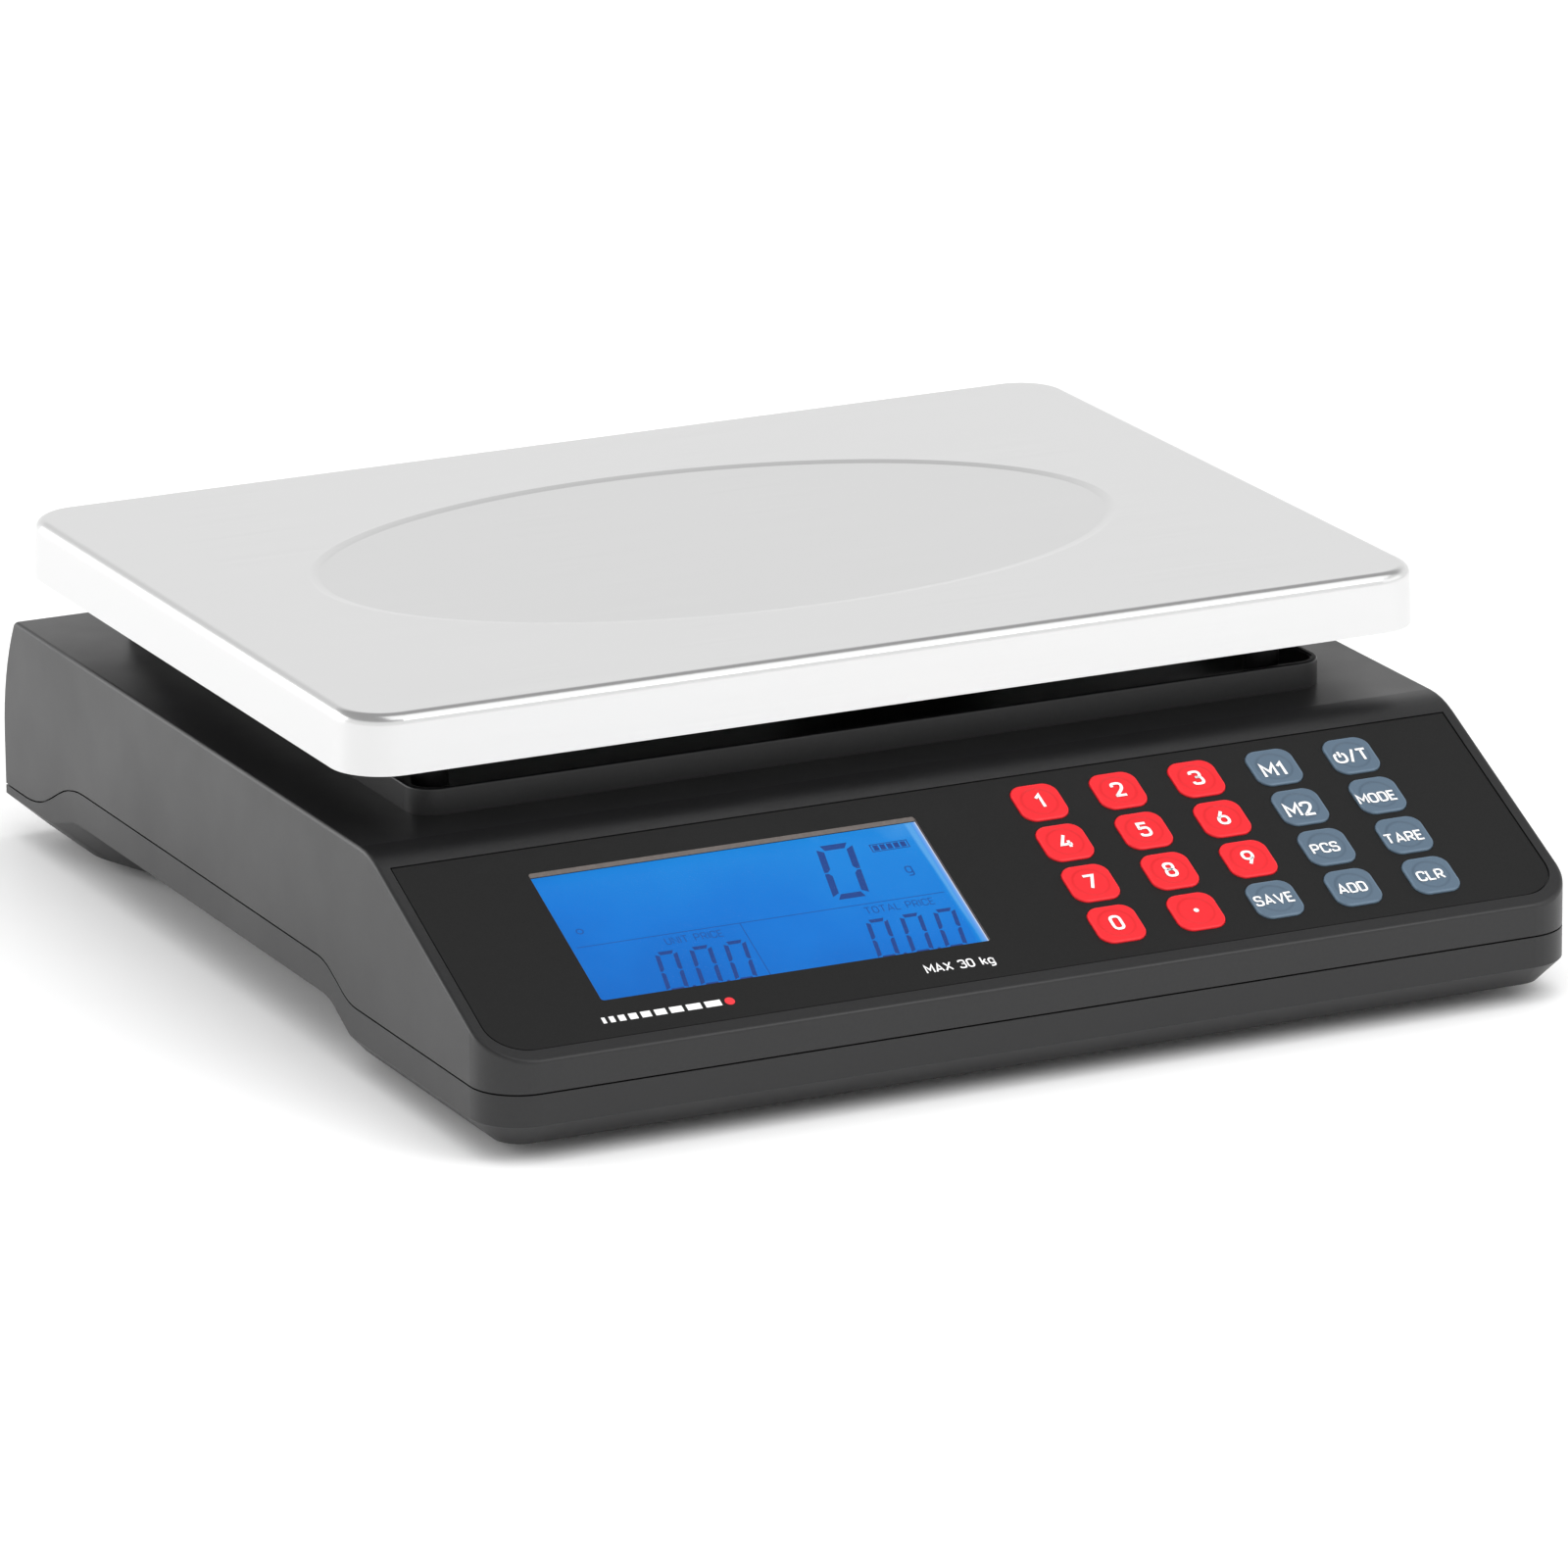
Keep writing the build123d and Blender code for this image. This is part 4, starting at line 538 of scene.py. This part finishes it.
# Contents of the front display
glass_face = on_panel(0, 0, GLASS_TOP + GAP)
big = zero_shapes(-42.6, -41.3, 10.6, 21.0, 2.0)
small = []
for start in (-101.6, -40.3):
    for i in range(3):
        small += zero_shapes(start + 9.9 * i, -65.6, 6.4, 15.2, 1.25)
    small += [disc(start + 8.1 + 9.9 * i, -64.9, 0.55, 12) for i in (0, 1)]
battery_icon = [box_outline(-23.4 + 2.0 * i, -25.0, -21.9 + 2.0 * i, -23.0) for i in range(5)]
battery_icon += [box_outline(-24.0, -22.75, -13.2, -22.5), box_outline(-24.0, -25.5, -13.2, -25.25)]
battery_icon += [box_outline(-24.2, -25.5, -23.9, -22.5), box_outline(-13.4, -25.5, -13.1, -22.5)]
thin_piece("lcd_weight_digits", big, glass_face, PRINT_T, "segment", "base")
thin_piece("lcd_price_digits", small, glass_face, PRINT_T, "segment", "base")
thin_piece("lcd_battery_mark", battery_icon, glass_face, PRINT_T, "segment", "base")
rules = [box_outline(-118.6, -44.4, -11.6, -44.15), box_outline(-71.7, -66.6, -71.45, -44.4)]
rules.append(ring_outline(-115.3, -38.4, 0.75, 1.1))
thin_piece("lcd_rules", rules, glass_face, FAINT_T, "faint", "base")
for name, text, x, v, height in (
    ("lcd_unit", "g", -17.4, 33.4, 4.0),
    ("lcd_unit_price", "UNIT PRICE", -86.0, 46.9, 2.7),
    ("lcd_total_price", "TOTAL PRICE", -26.0, 46.9, 2.7),
):
    place = on_panel(x, v, GLASS_TOP + GAP)
    lettering(name, text, height, place, "faint", "base", bold=0.75, thick=FAINT_T)

# Contents of the customer display
rear = on_back(0, REAR_LCD_Z, REAR_GLASS_Y + GAP)
rear_big = zero_shapes(20.0, -4.5, 8.0, 15.0, 1.5)
rear_small = []
for start in (-40.0, -12.0):
    for i in range(3):
        rear_small += zero_shapes(start + 7.2 * i, -8.5, 4.8, 10.0, 1.0)
    rear_small.append(disc(start + 6.1, -8.1, 0.4, 12))
thin_piece("rear_weight_digits", rear_big, rear, PRINT_T, "segment", "base")
thin_piece("rear_price_digits", rear_small, rear, PRINT_T, "segment", "base")

# Foam gasket round the display opening: a wedge on the window, broad along the top, and a glowing strip of painted
# light where the opening's right wall shows pale
outer, inner = (-121.45, -66.95, -8.55, -16.45), (-121.2, -66.75, -8.75, -17.8)
frame_mesh = bpy.data.meshes.new("window_gasket")
bm = bmesh.new()
rings = []
on_window = WINDOW_TOP + GAP
for corners, height in ((outer, on_window), (outer, -0.19), (inner, -0.56), (inner, on_window)):
    rings.append([bm.verts.new(Vector((x, y, height)) * MM) for x, y in box_outline(*corners)])
for i in range(4):
    for k in range(4):
        a, b = rings[i], rings[(i + 1) % 4]
        bm.faces.new((a[k], a[(k + 1) % 4], b[(k + 1) % 4], b[k]))
bmesh.ops.recalc_face_normals(bm, faces=bm.faces)
bm.to_mesh(frame_mesh)
bm.free()
put("window_gasket", frame_mesh, on_panel(0, 0, 0), "gasket", "base")
wall_light_outline = [box_outline(-10.3, -66.7, -8.8, -18.1)]
thin_piece("opening_wall_light_strip", wall_light_outline, on_panel(0, 0, on_window), PRINT_T, "painted_wall_light", "base")

# Plain marks on the panel: a row of bars that grow in length with a red dot at the end, and the capacity
film_ink = FILM_TOP + 0.002
film_face = on_panel(0, 0, film_ink)
bars, edge = [], -124.4
for i in range(9):
    bars.append(box_outline(edge, -75.4, edge + 1.0 + 0.45 * i, -73.2))
    edge += 2.1 + 0.45 * i
thin_piece("panel_mark", bars, film_face, MARK_T, "ink", "base")
thin_piece("panel_mark_accent", [disc(edge + 1.4, -74.3, 1.4)], film_face, MARK_T, "accent", "base")
place = on_panel(-21.0, 74.0, film_ink)
lettering("panel_capacity", "MAX 30 kg", 3.3, place, "ink", "base", thick=MARK_T)

# ---------------------------------------------------------------- floor, light and camera
floor_mesh = bpy.data.meshes.new("floor")
floor_mesh.from_pydata([(-12, -12, 0), (12, -12, 0), (12, 12, 0), (-12, 12, 0)], [], [(0, 1, 2, 3)])
floor = bpy.data.objects.new("floor", floor_mesh)
bpy.context.scene.collection.objects.link(floor)
paper = Shader("paper_floor", (0.94, 0.94, 0.94), 0.7, specular=0.2)
paper.vary_color(paper.noise(6.0, 2.0), 0.004)
floor_mesh.materials.append(paper.mat)

world = bpy.data.worlds.new("studio")
bpy.context.scene.world = world
world.use_nodes = True
sky = world.node_tree
background = sky.nodes["Background"]
background.inputs["Strength"].default_value = 1.08
coords = sky.nodes.new("ShaderNodeTexCoord")
split = sky.nodes.new("ShaderNodeSeparateXYZ")
fade = sky.nodes.new("ShaderNodeValToRGB")
# White up to 25 degrees above the horizon, and grey from 38 degrees up
fade.color_ramp.elements[0].position, fade.color_ramp.elements[0].color = 0.0, (1.0, 1.0, 1.0, 1)
fade.color_ramp.elements[1].position, fade.color_ramp.elements[1].color = 1.0, (0.42, 0.42, 0.42, 1)
for rise, grey in ((0.42, 0.95), (0.62, 0.42)):
    fade.color_ramp.elements.new(rise).color = (grey, grey, grey, 1)
sky.links.new(coords.outputs["Generated"], split.inputs[0])
sky.links.new(split.outputs[2], fade.inputs[0])
sky.links.new(fade.outputs[0], background.inputs["Color"])


def lamp(name, kind, place, aim, power, **settings):
    data = bpy.data.lights.new(name, kind)
    data.energy = power
    for key, value in settings.items():
        setattr(data, key, value)
    made = bpy.data.objects.new(name, data)
    made.location = place
    made.rotation_mode = "QUATERNION"
    made.rotation_quaternion = (Vector(aim) - Vector(place)).to_track_quat("-Z", "Y")
    bpy.context.scene.collection.objects.link(made)
    return made


box = {"shape": "RECTANGLE", "size": 1.6, "size_y": 1.3}
lamp("front_softbox", "AREA", (0.6, -0.75, 1.5), (0.6, -0.75, 0), 6.5, **box)
lamp("left_softbox", "AREA", (-1.4, 1.2, 0.5), (0, 0, 0.05), 14, **box)
lamp("right_softbox", "AREA", (1.6, -0.9, 1.0), (0, 0, 0.05), 2.5, **box)
lamp("edge_light", "AREA", (0.6, -1.05, 1.05), (0, -0.15, 0.03), 2.5, shape="SQUARE", size=0.5)
ceiling = lamp("ceiling", "SUN", (0, -0.3, 2.0), (0, 0, 0), 1.6, angle=1.3)
ceiling.visible_glossy = False

# The photograph's camera, worked out from edges and corners of the case and the pan
camera_data = bpy.data.cameras.new("camera")
camera_data.lens, camera_data.sensor_width = 257.80, 36.0
camera_data.shift_x, camera_data.shift_y = 0.00234, -0.00255
camera_data.clip_start, camera_data.clip_end = 0.1, 60.0
camera = bpy.data.objects.new("camera", camera_data)
bpy.context.scene.collection.objects.link(camera)
yaw, pitch, roll = math.radians(25.556), math.radians(16.801), math.radians(-0.504)
forward = Vector((math.sin(yaw) * math.cos(pitch), math.cos(yaw) * math.cos(pitch), -math.sin(pitch)))
level = Vector((math.cos(yaw), -math.sin(yaw), 0.0))
above = level.cross(forward)
right = level * math.cos(roll) + above * math.sin(roll)
up = above * math.cos(roll) - level * math.sin(roll)
pose = Matrix((right, up, -forward)).transposed().to_4x4()
pose.translation = (-1.27405, -2.6690, 0.9316)
camera.matrix_world = pose
bpy.context.scene.camera = camera

bpy.context.scene.view_settings.view_transform = "Standard"
bpy.context.scene.view_settings.look = "None"
